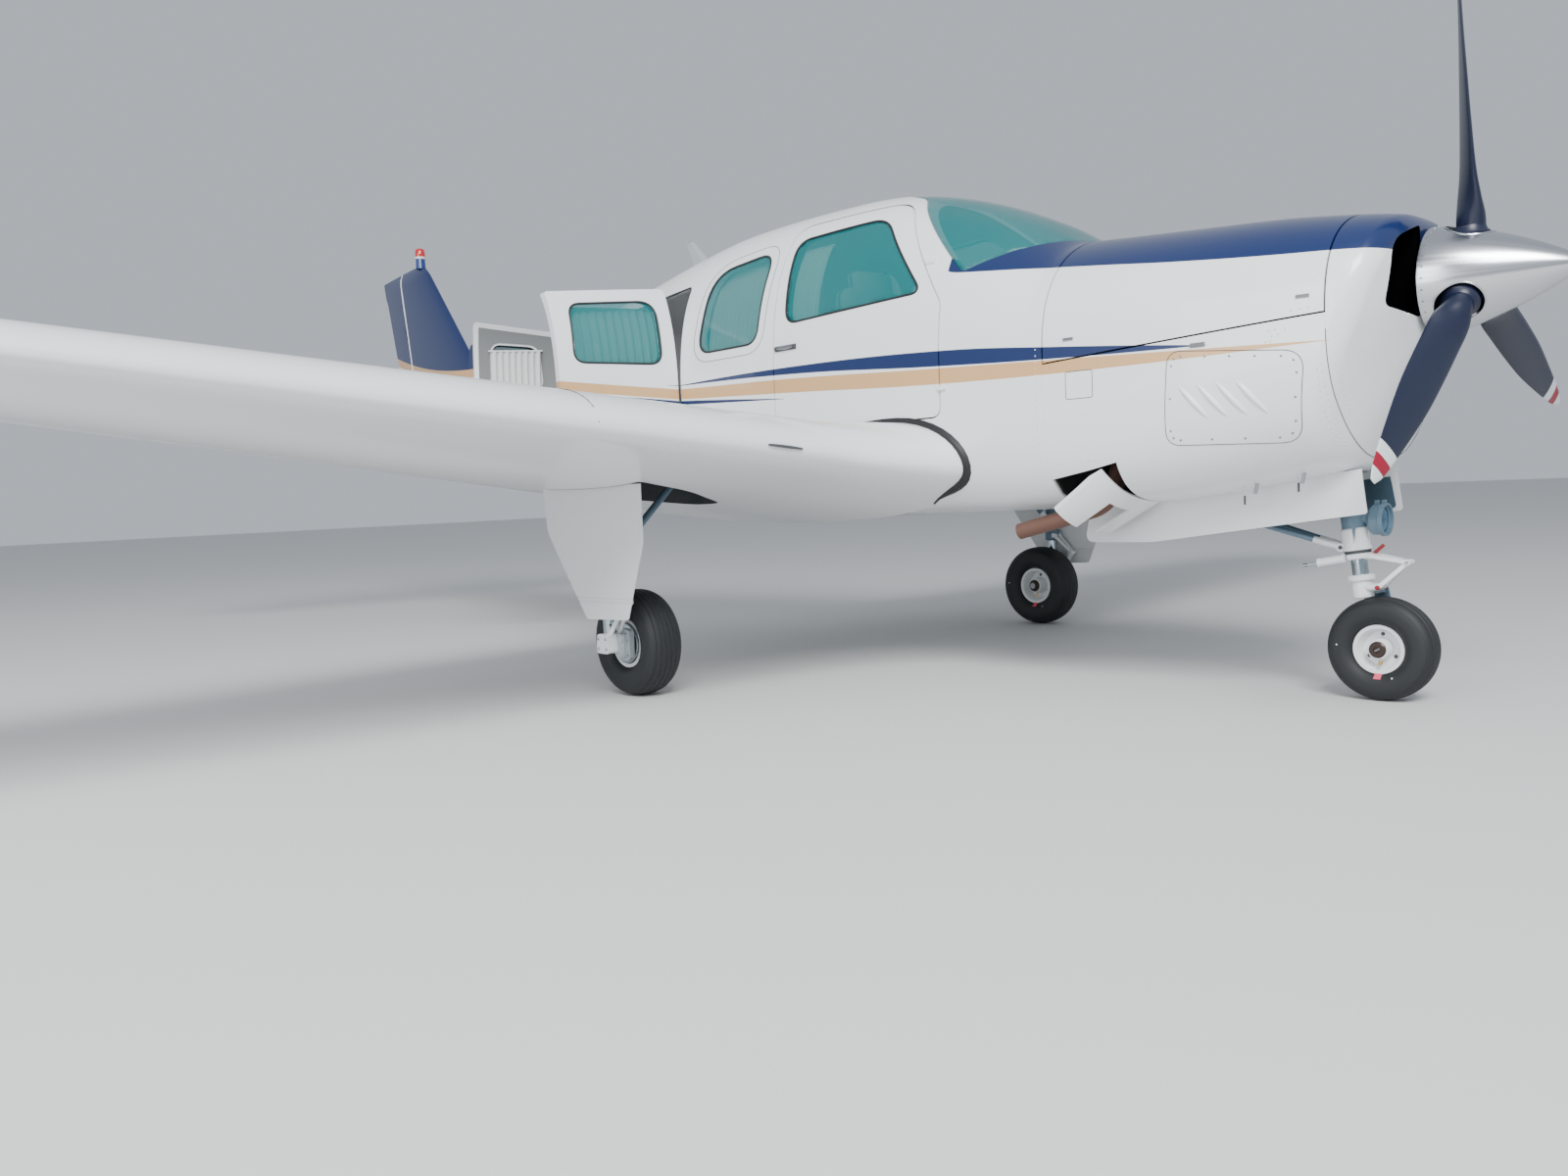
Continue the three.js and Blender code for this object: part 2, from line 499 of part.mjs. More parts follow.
// Wing sections are five-digit aerofoils: thickness and camber as shares of the chord
function aerofoil(share, thickness, camber, upper) {
  const half = 5 * thickness * (0.2969 * Math.sqrt(share) - 0.126 * share - 0.3516 * share ** 2
    + 0.2843 * share ** 3 - 0.1036 * share ** 4) + 0.0006;
  const [m, k] = [0.2025, 15.957];
  const ahead = k / 6 * (share ** 3 - 3 * m * share ** 2 + m * m * (3 - m) * share);
  const line = share < m ? ahead : k * m ** 3 / 6 * (1 - share);
  return camber * line + (upper ? half : -half);
}
const FOIL_POINTS = 9;
// Closed ring of an aerofoil in the plane of x and a height; from the rear edge over the top and back below
function foilRing(leading, chord, thickness, camber, incidence, toPoint) {
  const step = Math.PI / (FOIL_POINTS - 0.5);
  const shares = Array.from({ length: FOIL_POINTS }, (_, i) => (1 + Math.cos(i * step)) / 2);
  const turn = THREE.MathUtils.degToRad(incidence);
  const place = (share, upper) => {
    const [back, up] = [share * chord, aerofoil(share, thickness, camber, upper) * chord];
    return toPoint(leading - back * Math.cos(turn), up - back * Math.sin(turn));
  };
  return [...shares.map((s) => place(s, true)), ...shares.reverse().map((s) => place(s, false))];
}

// Wing: a tapered panel on each side, with a glove at the root and a rounded tip
const SPAR_X = 1474;              // quarter-chord line, straight across the span
const LEADING_Z = 844;
const DIHEDRAL = 0.104;
const ROOT_CHORD = 2134;
const TIP_CHORD = 1067;
const chordAt = (y) => ROOT_CHORD - (ROOT_CHORD - TIP_CHORD) * y / HALF_SPAN;
const WING_ROOT_Y = 572;
const WING_INNER_Y = 500;         // the root is built to here and trimmed to the fuselage side
// Each row: outboard distance, how far the glove grows forward, thickness share, incidence, scale of the tip
const WING = [
  [WING_INNER_Y, 200, 0.165, 3.7, 1], [WING_ROOT_Y, 155, 0.165, 3.7, 1], [700, 95, 0.163, 3.6, 1],
  [850, 38, 0.161, 3.5, 1], [1050, 0, 0.159, 3.4, 1],
  [2700, 0, 0.143, 2.4, 1], [4700, 0, 0.124, 1.2, 1], [4960, 0, 0.121, 1.0, 0.96], [5065, 0, 0.1, 1.0, 0.86],
  [HALF_SPAN, 0, 0.05, 1.0, 0.74],
];
const wingRing = ([y, glove, thickness, incidence, scale], sign) => {
  const chord = chordAt(y);
  const leading = SPAR_X + 0.25 * chord + glove - (1 - scale) * chord * 0.35;
  const lift = LEADING_Z + DIHEDRAL * y + (1 - scale) * 60;
  const toPoint = (x, z) => vec(x, sign * y, z + lift);
  return foilRing(leading, (chord + glove) * scale, thickness, 1, incidence, toPoint);
};
const fuselageSide = hull(-400, FIREWALL_X, -GAP);
const wingSolid = (sign) => loft(WING.map((row) => wingRing(row, sign))).subtract(fuselageSide);

// A point on the wing's mean surface at a share of the chord, for hinge lines
function wingPoint(y, share, sign, upper = null) {
  const incidence = y < 2700 ? 2.4 + (2700 - y) / 1650 : 2.4 - 1.2 * (y - 2700) / 2000;
  const chord = chordAt(y);
  const thickness = y < 2700 ? 0.143 + 0.016 * (2700 - y) / 1650 : 0.143 - 0.019 * (y - 2700) / 2000;
  const turn = THREE.MathUtils.degToRad(incidence);
  const [high, low] = [aerofoil(share, thickness, 1, true), aerofoil(share, thickness, 1, false)];
  const up = (upper === null ? (high + low) / 2 : upper ? high : low) * chord;
  const x = SPAR_X + 0.25 * chord - share * chord * Math.cos(turn);
  const z = LEADING_Z + DIHEDRAL * y + up - share * chord * Math.sin(turn);
  return { point: vec(x, sign * y, z), half: (high - low) / 2 * chord };
}

// Cuts a control surface out of its carrier: round nose about the hinge line, hollow cove round it
const SWEEP = 1.12;               // room in the cove for the corners of a surface turned by 25 degrees
// Pins at both ends of a hinge line, up to the end walls of the opening, which are square to the line or to Y
function endPins(a, b, squareWalls, gap = END_GAP) {
  const along = b.clone().sub(a).normalize();
  const slant = Math.sqrt(1 - along.y ** 2);
  const length = gap - (squareWalls ? GAP : (PIN_R * slant + GAP) / Math.abs(along.y));
  const from = (end, distance) => end.clone().addScaledVector(along, distance);
  return rod(from(a, -length), from(a, 30), PIN_R).add(rod(from(b, -30), from(b, length), PIN_R));
}

function hingedSurface(carrier, a, b, radiusA, radiusB, reach, up, pinned = false) {
  const along = b.clone().sub(a).normalize();
  const behind = (from, to, ahead, grow) => {
    const points = [from, to].flatMap((p) => [-1, 1].map((s) => p.clone().addScaledVector(up, s * 400)));
    const geometry = new THREE.BoxGeometry(1, 1, 1);
    const place = geometry.attributes.position;
    for (let i = 0; i < place.count; i += 1) {
      const [u, v, w] = [place.getX(i), place.getY(i), place.getZ(i)];
      const corner = points[(v > 0 ? 2 : 0) + (w > 0 ? 1 : 0)].clone();
      corner.x += u > 0 ? ahead : -reach;
      corner.addScaledVector(along, (v > 0 ? 1 : -1) * grow);
      place.setXYZ(i, corner.x, corner.y, corner.z);
    }
    return solid(geometry);
  };
  const nose = (scale, grow, longer) => rod(a.clone().addScaledVector(along, -longer),
    b.clone().addScaledVector(along, longer), radiusA * scale + grow, radiusB * scale + grow, 14);
  let surface = carrier.intersect(behind(a, b, 0, 0).add(nose(0.93, 0, 0)));
  if (pinned) surface = surface.add(endPins(a, b, true));
  const rest = carrier.subtract(behind(a, b, SEAM, END_GAP)).subtract(nose(SWEEP, SEAM, END_GAP));
  return { surface, rest };
}

const FLAP_Y = [645, 2676];
const FLAP_END_GAP = 20;
const FLAP_SHARE = 0.76;
const AILERON_Y = [2734, 4720];
const WELL_FLOOR = 500;
const WELL_ROOF = 1020;
// Outline of the left main wheel's well in plan, each corner with its rounding radius
const WELL = [
  [1440, 1620, 30], [730, 1620, 60], [790, 1290, 90], [1000, 1010, 60], [1180, 1010, 60], [1380, 1330, 90],
];
const wellSolid = (sign, inset) => prismZ(shrink(WELL.map(([x, y, r]) => [x, sign * y, r]), inset),
  WELL_FLOOR, WELL_ROOF - inset);
for (const [side, sign] of SIDES) {
  let wing = wingSolid(sign);
  const aileronAt = AILERON_Y.map((y) => wingPoint(y, 0.78, sign));
  const aileron = hingedSurface(wing, aileronAt[0].point, aileronAt[1].point,
    aileronAt[0].half, aileronAt[1].half, 600, vec(0, 0, 1), true);
  wing = aileron.rest;
  // A flap turns down only, about a line just under its lower front edge, so its front face can be flat
  const flapAt = FLAP_Y.map((y) => wingPoint(y, FLAP_SHARE, sign, false).point);
  const aftOf = (ahead, wider) => prismZ([
    [flapAt[0].x + ahead, flapAt[0].y - sign * wider], [flapAt[1].x + ahead, flapAt[1].y + sign * wider],
    [-400, flapAt[1].y + sign * wider], [-400, flapAt[0].y - sign * wider]], 500, 1500);
  const flap = wing.intersect(aftOf(0, 0)).add(endPins(...flapAt, false, FLAP_END_GAP));
  wing = wing.subtract(aftOf(SEAM + 2, FLAP_END_GAP)).subtract(wellSolid(sign, 0));
  piece(`wing_${side}`, wing, white);
  piece(`aileron_${side}`, aileron.surface, white);
  piece(`flap_${side}`, flap, white);
}

// Tailplane: one surface carried through the tail cone, and the two elevators joined by their tube
const TAIL_SPAN = 1855;
const TAIL_Z = 1555;
const ELEVATOR_HINGE_X = -3500;
// Each row: outboard distance, leading edge, chord, thickness share
const TAIL = [
  [0, -2700, 1210, 0.09], [150, -2750, 1160, 0.09], [1700, -3180, 730, 0.085], [1820, -3225, 650, 0.07],
  [TAIL_SPAN, -3290, 520, 0.05],
];
const tailRing = ([y, leading, chord, thickness], grow) => foilRing(leading + grow, chord + 2 * grow,
  thickness + 2 * grow / chord, 0, 0, (x, z) => vec(x, y, z + TAIL_Z));
function tailplaneSolid(grow) {
  const half = TAIL.map((row) => tailRing(row, grow));
  const other = half.slice(1).reverse().map((ring) => ring.map((p) => vec(p.x, -p.y, p.z)));
  return loft([...other, ...half]);
}
const ELEVATOR_Y = 165;
const TUBE_R = 16;
const onTube = (y) => vec(ELEVATOR_HINGE_X, y, TAIL_Z);
let tailplane = tailplaneSolid(0);
let elevators = rod(onTube(-ELEVATOR_Y - 20), onTube(ELEVATOR_Y + 20), TUBE_R, TUBE_R, ROUND);
for (const [, sign] of SIDES) {
  const [inner, outer] = [onTube(sign * ELEVATOR_Y), onTube(sign * (TAIL_SPAN - 1))];
  const cut = hingedSurface(tailplane, inner, outer, 34, 26, 700, vec(0, 0, 1));
  elevators = elevators.add(cut.surface);
  tailplane = cut.rest;
}
const inTheMiddle = ELEVATOR_Y + SEAM;
tailplane = tailplane.subtract(box(-5000, ELEVATOR_HINGE_X + 40, -inTheMiddle, inTheMiddle, 1000, 2000));
const bearing = rod(onTube(-ELEVATOR_Y), onTube(ELEVATOR_Y), boreFor(TUBE_R), boreFor(TUBE_R), ROUND);
for (const [, sign] of SIDES) {
  const [rear, front] = [ELEVATOR_HINGE_X - 24, ELEVATOR_HINGE_X + 50];
  const lug = box(rear, front, sign * 112, sign * 124, TAIL_Z - 24, TAIL_Z + 24);
  tailplane = tailplane.add(lug.subtract(bearing));
}
piece('tailplane', tailplane, white);
piece('elevators', elevators, white);
tailCone = tailCone.subtract(tailplaneSolid(GAP));

// Fin and rudder: upright aerofoils on the tail cone
const FIN = [
  // height, leading edge, trailing edge, thickness share
  [1200, -2180, -3812, 0.05], [1700, -2608, -3905, 0.075], [2580, -3344, -4118, 0.085],
  [2630, -3400, -4128, 0.07],
  [2660, -3470, -HALF_LENGTH, 0.035],
];
const TOP_SLOPE = 0.062;          // the fin's top falls towards the rear
const finSolid = loft(FIN.map(([height, leading, trailing, thickness]) => {
  const slope = height > 2500 ? TOP_SLOPE : 0;
  const toPoint = (x, side) => vec(x, side, height - (leading - x) * slope);
  return foilRing(leading, leading - trailing, thickness, 0, 0, toPoint);
}));
const RUDDER_HINGE = [vec(-3640, 0, 1260), vec(-3806, 0, 2700)];
const LUG = { reach: 75, half: 7, thick: 10, pin: 4, slot: 16 };
// A hinge of the rudder: lug with its eye, the slot it sits in, and the pin across the slot
function rudderHinge(height) {
  const share = (height - RUDDER_HINGE[0].z) / (RUDDER_HINGE[1].z - RUDDER_HINGE[0].z);
  const eye = RUDDER_HINGE[0].clone().lerp(RUDDER_HINGE[1], share);
  const along = RUDDER_HINGE[1].clone().sub(RUDDER_HINGE[0]).normalize();
  const onAxis = (distance) => eye.clone().addScaledVector(along, distance);
  const half = LUG.thick / 2;
  const bore = boreFor(LUG.pin);
  return {
    lug: box(eye.x - 9, eye.x + LUG.reach, -LUG.half, LUG.half, height - half, height + half)
      .subtract(rod(onAxis(-LUG.thick), onAxis(LUG.thick), bore, bore, ROUND)),
    slot: box(eye.x - LUG.slot, eye.x + 60, -80, 80, height - half - 1.5, height + half + 1.5),
    pin: rod(onAxis(-LUG.thick), onAxis(LUG.thick), LUG.pin, LUG.pin, ROUND),
  };
}
const hinges = { onCone: rudderHinge(1405), onFin: rudderHinge(2300) };
const uprightBox = (x0, x1, z0, z1) => box(x0, x1, -200, 200, z0, z1);
const rudderCut = hingedSurface(finSolid.intersect(uprightBox(-5000, -2000, 1262, 3000)), ...RUDDER_HINGE,
  42, 22, 600, vec(0, 1, 0));
// Dorsal fillet ahead of the fin: distance, foot, ridge, half width
const DORSAL = [[-1800, 1780, 1818, 6], [-2400, 1740, 1880, 26], [-2760, 1700, 1985, 40]];
const dorsal = loft(DORSAL.map(([x, foot, ridge, half]) => {
  const oneSide = [vec(x, half * 0.3, ridge), vec(x, half, ridge - 30), vec(x, half, foot)];
  return [...oneSide, ...oneSide.slice().reverse().map((p) => vec(p.x, -p.y, p.z))];
}));
const coneBody = hull(CONE_END_X - 1, TAIL_JOINT_X, -GAP);
const FIN_FOOT = 1690;
const fin = rudderCut.rest.subtract(uprightBox(-5000, -2000, 1000, FIN_FOOT))
  .add(dorsal).subtract(coneBody).add(hinges.onFin.lug);
piece('fin', fin, blue);
let rudder = rudderCut.surface;
for (const { slot, pin } of Object.values(hinges)) rudder = rudder.subtract(slot).add(pin);
piece('rudder', rudder, blue);
const rib = hull(CONE_END_X, CONE_END_X + 60)
  .intersect(box(CONE_END_X + 1, CONE_END_X + 60, -100, 100, 1400, 1410));
tailCone = tailCone.add(rib.add(hinges.onCone.lug));
piece('tail_cone', tailCone, white);
piece('cabin_shell', cabin, white);

// Beacon on the fin's top
const BEACON = vec(-3480, 0, 2640);
const BEACON_PROFILE = [
  [0, 0], [36, 0], [36, 70], [42, 74], [42, 84], [38, 90], [36, 140], [26, 152], [0, 154],
];
const beaconSeat = finSolid.add(finSolid.translate(0, 0, GAP));
piece('beacon', turned(BEACON_PROFILE, BEACON, vec(0, 0, 1), 16).subtract(beaconSeat), red);

// Blade aerial on the roof: leading edge, height, chord, thickness
const AERIAL = [[40, 2000, 190, 14], [-60, 2140, 120, 11], [-165, 2240, 60, 8]];
const aerial = loft(AERIAL.map(([leading, height, chord, thick]) => {
  const halves = [[0, 1], [0.4, thick / 2], [1, 1]];
  const oneSide = halves.map(([share, half]) => vec(leading - chord * share, half, height));
  return [...oneSide, ...oneSide.slice().reverse().map((p) => vec(p.x, -p.y, p.z))];
}));
piece('aerial', aerial.subtract(hull(-900, 900, -GAP)), white);

// Cabin inside: floor with the rear bulkhead, instrument panel with control wheels, three rows of seats
const FLOOR_Z = 1010;
const room = hull(TAIL_JOINT_X - 0.5, CABIN_FRONT_X + 0.5, CABIN_WALL + GAP);
const floorPlate = room.intersect(box(TAIL_JOINT_X + 5, FIREWALL_X - 20, -700, 700, FLOOR_Z - 25, FLOOR_Z));
const bulkhead = room.intersect(box(TAIL_JOINT_X + 5, TAIL_JOINT_X + 20, -700, 700, FLOOR_Z - 25, 2000));
piece('cabin_floor', floorPlate.add(bulkhead), trimGrey);

const PANEL_X = 2180;
const PANEL_SIDE = [
  [PANEL_X - 30, 1300], [PANEL_X, 1640], [PANEL_X - 70, 1668], [PANEL_X - 70, 1680], [2420, 1690],
  [2420, 1660], [PANEL_X + 60, 1640], [PANEL_X + 30, 1300],
];
let panel = room.intersect(prismY(PANEL_SIDE, -700, 700));
panel = panel.add(box(PANEL_X, 2480, -60, 60, 1350, 1420));
panel = panel.add(box(2440, FIREWALL_X - 10, -60, 60, FLOOR_Z + GAP, 1420));
for (const [, sign] of SIDES) {
  const y = sign * 250;
  panel = panel.add(rod(vec(PANEL_X, y, 1480), vec(PANEL_X - 190, y, 1480), 14, 14, 10));
  panel = panel.add(box(PANEL_X - 210, PANEL_X - 185, y - 130, y + 130, 1465, 1495));
  for (const grip of [-1, 1]) {
    panel = panel.add(box(PANEL_X - 215, PANEL_X - 185, y + grip * 115, y + grip * 145, 1440, 1560));
  }
}
piece('instrument_panel', panel, trimGrey);

// Each row: front edge of the cushion, cushion depth, backrest top, half width of one seat, rake of the back
const SEATS = [
  { name: 'seats_front', x: 1860, depth: 470, top: 1760, y: 255, half: 215 },
  { name: 'seats_middle', x: 900, depth: 460, top: 1720, y: 240, half: 195 },
  { name: 'seats_rear', x: 60, depth: 430, top: 1640, y: 225, half: 195 },
];
for (const { name, x, depth, top, y, half } of SEATS) {
  const seatZ = FLOOR_Z + 300;
  let row = box(x - depth + 40, x - 60, -y - 60, y + 60, FLOOR_Z + GAP, FLOOR_Z + 30);
  for (const [, sign] of SIDES) {
    const [inner, outer] = [sign * y - half, sign * y + half];
    row = row.add(box(x - depth + 60, x - 80, sign * y - 60, sign * y + 60, FLOOR_Z + 20, seatZ - 120));
    const rear = x - depth;
    const cushion = [[x, seatZ - 110, 40], [x, seatZ, 40], [rear, seatZ - 20, 20], [rear, seatZ - 130, 20]];
    const back = [
      [rear + 90, seatZ - 60, 20], [rear - 60, top, 50], [rear - 160, top, 40], [rear - 30, seatZ - 90, 20],
    ];
    row = row.add(prismY(cushion, inner, outer)).add(prismY(back, inner, outer));
  }
  piece(name, row, cloth);
}

// Wheels: a solid tyre on a rim that runs on its axle
function tyreProfile(outer, rim, width) {
  const [mid, high, wide] = [(outer + rim) / 2, (outer - rim) / 2, width / 2];
  const points = Array.from({ length: 9 }, (_, k) => {
    const angle = Math.PI * (-0.5 + k / 8);
    const curve = (v, power) => Math.sign(v) * Math.abs(v) ** (2 / power);
    return [mid + high * curve(Math.cos(angle), 2.6) , wide * curve(Math.sin(angle), 2.6)];
  });
  const bead = wide * 0.62;
  return [[rim + GAP, -bead], ...points.slice(1, 8), [rim + GAP, bead], [rim + GAP, -bead]];
}
const WHEEL_SIDES = 20;
const WHEELS = {
  nose: { outer: 180.5, rim: 82, width: 125, axle: 13 },
  main: { outer: 220, rim: 96, width: 170, axle: 17 },
};
function rimSolid({ rim, width, axle }, centre) {
  const edge = width * 0.36;
  const bore = boreFor(axle, WHEEL_SIDES);
  const half = [
    [bore, edge * 0.9], [axle + 22, edge * 0.9], [axle + 26, edge * 0.35], [rim - 14, edge * 0.4],
    [rim - 6, edge], [rim, edge],
  ];
  const profile = [...half.map(([r, h]) => [r, -h]), ...half.slice().reverse(), [bore, -edge * 0.9]];
  return turned(profile, centre, vec(0, 1, 0), WHEEL_SIDES);
}
function tyreSolid({ outer, rim, width }, centre) {
  return turned(tyreProfile(outer, rim, width), centre, vec(0, 1, 0), WHEEL_SIDES);
}

// Nose leg: cylinder hung from a cross bar between the bay's beams, with drag brace and landing lamp
const STRUT_LOW = vec(3461, 0, 400);
const STRUT_HIGH = vec(3400, 0, 880);
const strutAxis = STRUT_HIGH.clone().sub(STRUT_LOW).normalize();
const onStrut = (distance) => STRUT_LOW.clone().addScaledVector(strutAxis, distance);
const CYLINDER_FROM = 150;
const PISTON_R = 27;
let noseLeg = rod(onStrut(CYLINDER_FROM), STRUT_HIGH, 41, 41, 14);
noseLeg = noseLeg.add(rod(onStrut(CYLINDER_FROM), onStrut(CYLINDER_FROM + 75), 47, 47, 14));
// A bar across the bay, from one beam to the other
const crossBar = (x, z, radius) => rod(vec(x, -BAY_HALF + GAP, z), vec(x, BAY_HALF - GAP, z), radius);
noseLeg = noseLeg.add(crossBar(STRUT_HIGH.x, 860, 24));
const BRACE_LOW = vec(3372, 0, 560);
const BRACE_HIGH = vec(2960, 0, 800);
for (const sign of [-1, 1]) {
  const low = vec(BRACE_LOW.x + 60, sign * 34, BRACE_LOW.z);
  const high = vec(BRACE_HIGH.x, sign * 38, BRACE_HIGH.z);
  noseLeg = noseLeg.add(rod(low, high, 12, 12, 8));
}
noseLeg = noseLeg.add(crossBar(BRACE_HIGH.x, BRACE_HIGH.z, 16));
noseLeg = noseLeg.add(rod(vec(3430, 0, 628), vec(3500, 0, 632), 18, 18, 8));
const LAMP_PROFILE = [[0, 0], [44, 0], [57, 10], [57, 46], [50, 46], [46, 30], [0, 26]];
noseLeg = noseLeg.add(turned(LAMP_PROFILE, vec(3490, 0, 628), vec(1, 0, 0), 14));
const boreR = boreFor(PISTON_R);
const pistonBore = rod(onStrut(CYLINDER_FROM - 10), onStrut(CYLINDER_FROM + 200), boreR, boreR, ROUND);
noseLeg = noseLeg.subtract(pistonBore);
piece('nose_leg', noseLeg, gearPaint);

// Nose fork, which steers as one: piston, steering collar, torque links, shimmy damper, one cheek and axle
const noseHub = vec(NOSE_WHEEL_X, 0, WHEELS.nose.outer);
let fork = rod(onStrut(-10), onStrut(CYLINDER_FROM + 180), PISTON_R, PISTON_R, ROUND);
fork = fork.add(rod(onStrut(CYLINDER_FROM - 34), onStrut(CYLINDER_FROM - 8), 45, 45, 14));
fork = fork.add(rod(onStrut(-34), onStrut(36), 40, 44, 14));
const KNEE = vec(3622, 0, 487);
const LINK_HIGH = onStrut(CYLINDER_FROM - 21);
const LINK_LOW = onStrut(5);
for (const sign of [-1, 1]) for (const end of [LINK_HIGH, LINK_LOW]) {
  fork = fork.add(rod(vec(end.x + 20, sign * 30, end.z), vec(KNEE.x, sign * 12, KNEE.z), 11, 9, 6));
}
fork = fork.add(rod(vec(KNEE.x, -26, KNEE.z), vec(KNEE.x, 26, KNEE.z), 14, 14, 8));
fork = fork.add(rod(vec(3420, -40, LINK_HIGH.z - 4), vec(3300, -56, LINK_HIGH.z - 44), 17, 17, 10));
const CHEEK_Y = 76;
const CHEEK = [
  [noseHub.x + 24, noseHub.z - 24, 20], [noseHub.x + 24, noseHub.z + 40, 20],
  [3515, 392, 10], [3415, 392, 20],
  [noseHub.x - 30, noseHub.z + 30, 30], [noseHub.x - 24, noseHub.z - 24, 20],
];
fork = fork.add(prismY(CHEEK, CHEEK_Y, CHEEK_Y + 12));
fork = fork.add(box(3412, 3515, -40, CHEEK_Y + 12, 374, 396));
const { axle } = WHEELS.nose;
const axleEnd = (y) => vec(noseHub.x, y, noseHub.z);
fork = fork.add(rod(axleEnd(-46), axleEnd(CHEEK_Y + 14), axle, axle, WHEEL_SIDES));
piece('nose_fork', fork, gearPaint);
piece('nose_rim', rimSolid(WHEELS.nose, noseHub), white);
piece('nose_tyre', tyreSolid(WHEELS.nose, noseHub), rubber);

// Nose gear doors: two leaves that hang from the bay's edges
const GEAR_DOOR = [[3520, 806], [3540, 655, 15], [2740, 560, 30], [2440, 560, 40], [2470, 690]];
for (const [side, sign] of SIDES) {
  const lip = sign * (BAY_HALF + 2);
  const leaf = prismY(GEAR_DOOR, lip, lip + sign * 6).subtract(hull(2300, COWL_FRONT_X + 50, -GAP));
  piece(`nose_gear_door_${side}`, leaf, white);
}

// Main legs: cylinder and trunnion in the wing's well, piston, axle, brake, torque link, door bracket
const LEG_Y = HALF_TRACK + 132;
const LEG_X = MAIN_WHEEL_X - 6;
const TRUNNION_Z = WELL_ROOF - 75;
const SIDE_BRACE_Y = 1120;
const LEG_DOOR = [[1431, 870], [1434, 646, 20], [1306, 338, 12], [1019, 330, 12], [756, 690, 20], [736, 870]];
function mainLeg(sign, wheelHub) {
  const y = sign * LEG_Y;
  const at = (ahead, z) => vec(LEG_X + ahead, y, z);
  const knee = at(130, 400);
  const brakeY = y - sign * 34;
  const [postY, linkR] = [sign * (SIDE_BRACE_Y - 10), 11];
  const { axle } = WHEELS.main;
  const axleEnd = wheelHub.clone().setY(wheelHub.y - sign * 62);
  return union(
    rod(at(0, 500), at(0, WELL_ROOF - 30), 38, 38, 14),
    rod(at(-380, TRUNNION_Z), at(360, TRUNNION_Z), 20),
    rod(at(0, 230), at(0, 510), 26, 26, 14),
    rod(at(0, 560), vec(LEG_X, sign * SIDE_BRACE_Y, TRUNNION_Z), 15, 15, 8),
    rod(at(0, 640), vec(LEG_X + 190, y - sign * 30, TRUNNION_Z), 12, 12, 8),
    rod(vec(LEG_X, postY, TRUNNION_Z - 20), vec(LEG_X, postY, WELL_ROOF), 22),
    box(LEG_X - 42, LEG_X + 42, y - 44, y + 44, 195, 262),
    rod(at(30, 500), knee, linkR, linkR, 8),
    rod(at(30, 260), knee, linkR, linkR, 8),
    box(LEG_X + 20, LEG_X + 100, brakeY - 12, brakeY + 12, 150, 290),
    rod(wheelHub.clone().setY(y), axleEnd, axle, axle, WHEEL_SIDES),
    box(LEG_X - 30, LEG_X + 30, y + sign * 30 - 24, y + sign * 30 + 24, 540, 570),
  );
}
for (const [side, sign] of SIDES) {
  const wheelHub = vec(MAIN_WHEEL_X, sign * HALF_TRACK, WHEELS.main.outer);
  const legRoom = wellSolid(sign, GAP).add(box(0, 3000, -2000, 2000, 0, 700));
  piece(`main_leg_${side}`, mainLeg(sign, wheelHub).intersect(legRoom), gearPaint);
  piece(`main_rim_${side}`, rimSolid(WHEELS.main, wheelHub), white);
  piece(`main_tyre_${side}`, tyreSolid(WHEELS.main, wheelHub), rubber);
  const plateY = sign * (LEG_Y + 54 + GAP);
  const plate = prismY(LEG_DOOR, plateY, plateY + sign * 6)
    .subtract(wingSolid(sign).translate(0, 0, -GAP)).subtract(box(0, 2000, -2000, 2000, 860, 1200));
  piece(`leg_door_${side}`, plate, white);
}

export default aircraft;
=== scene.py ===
import math

import bmesh
import bpy
import numpy as np
from mathutils import Matrix, Vector


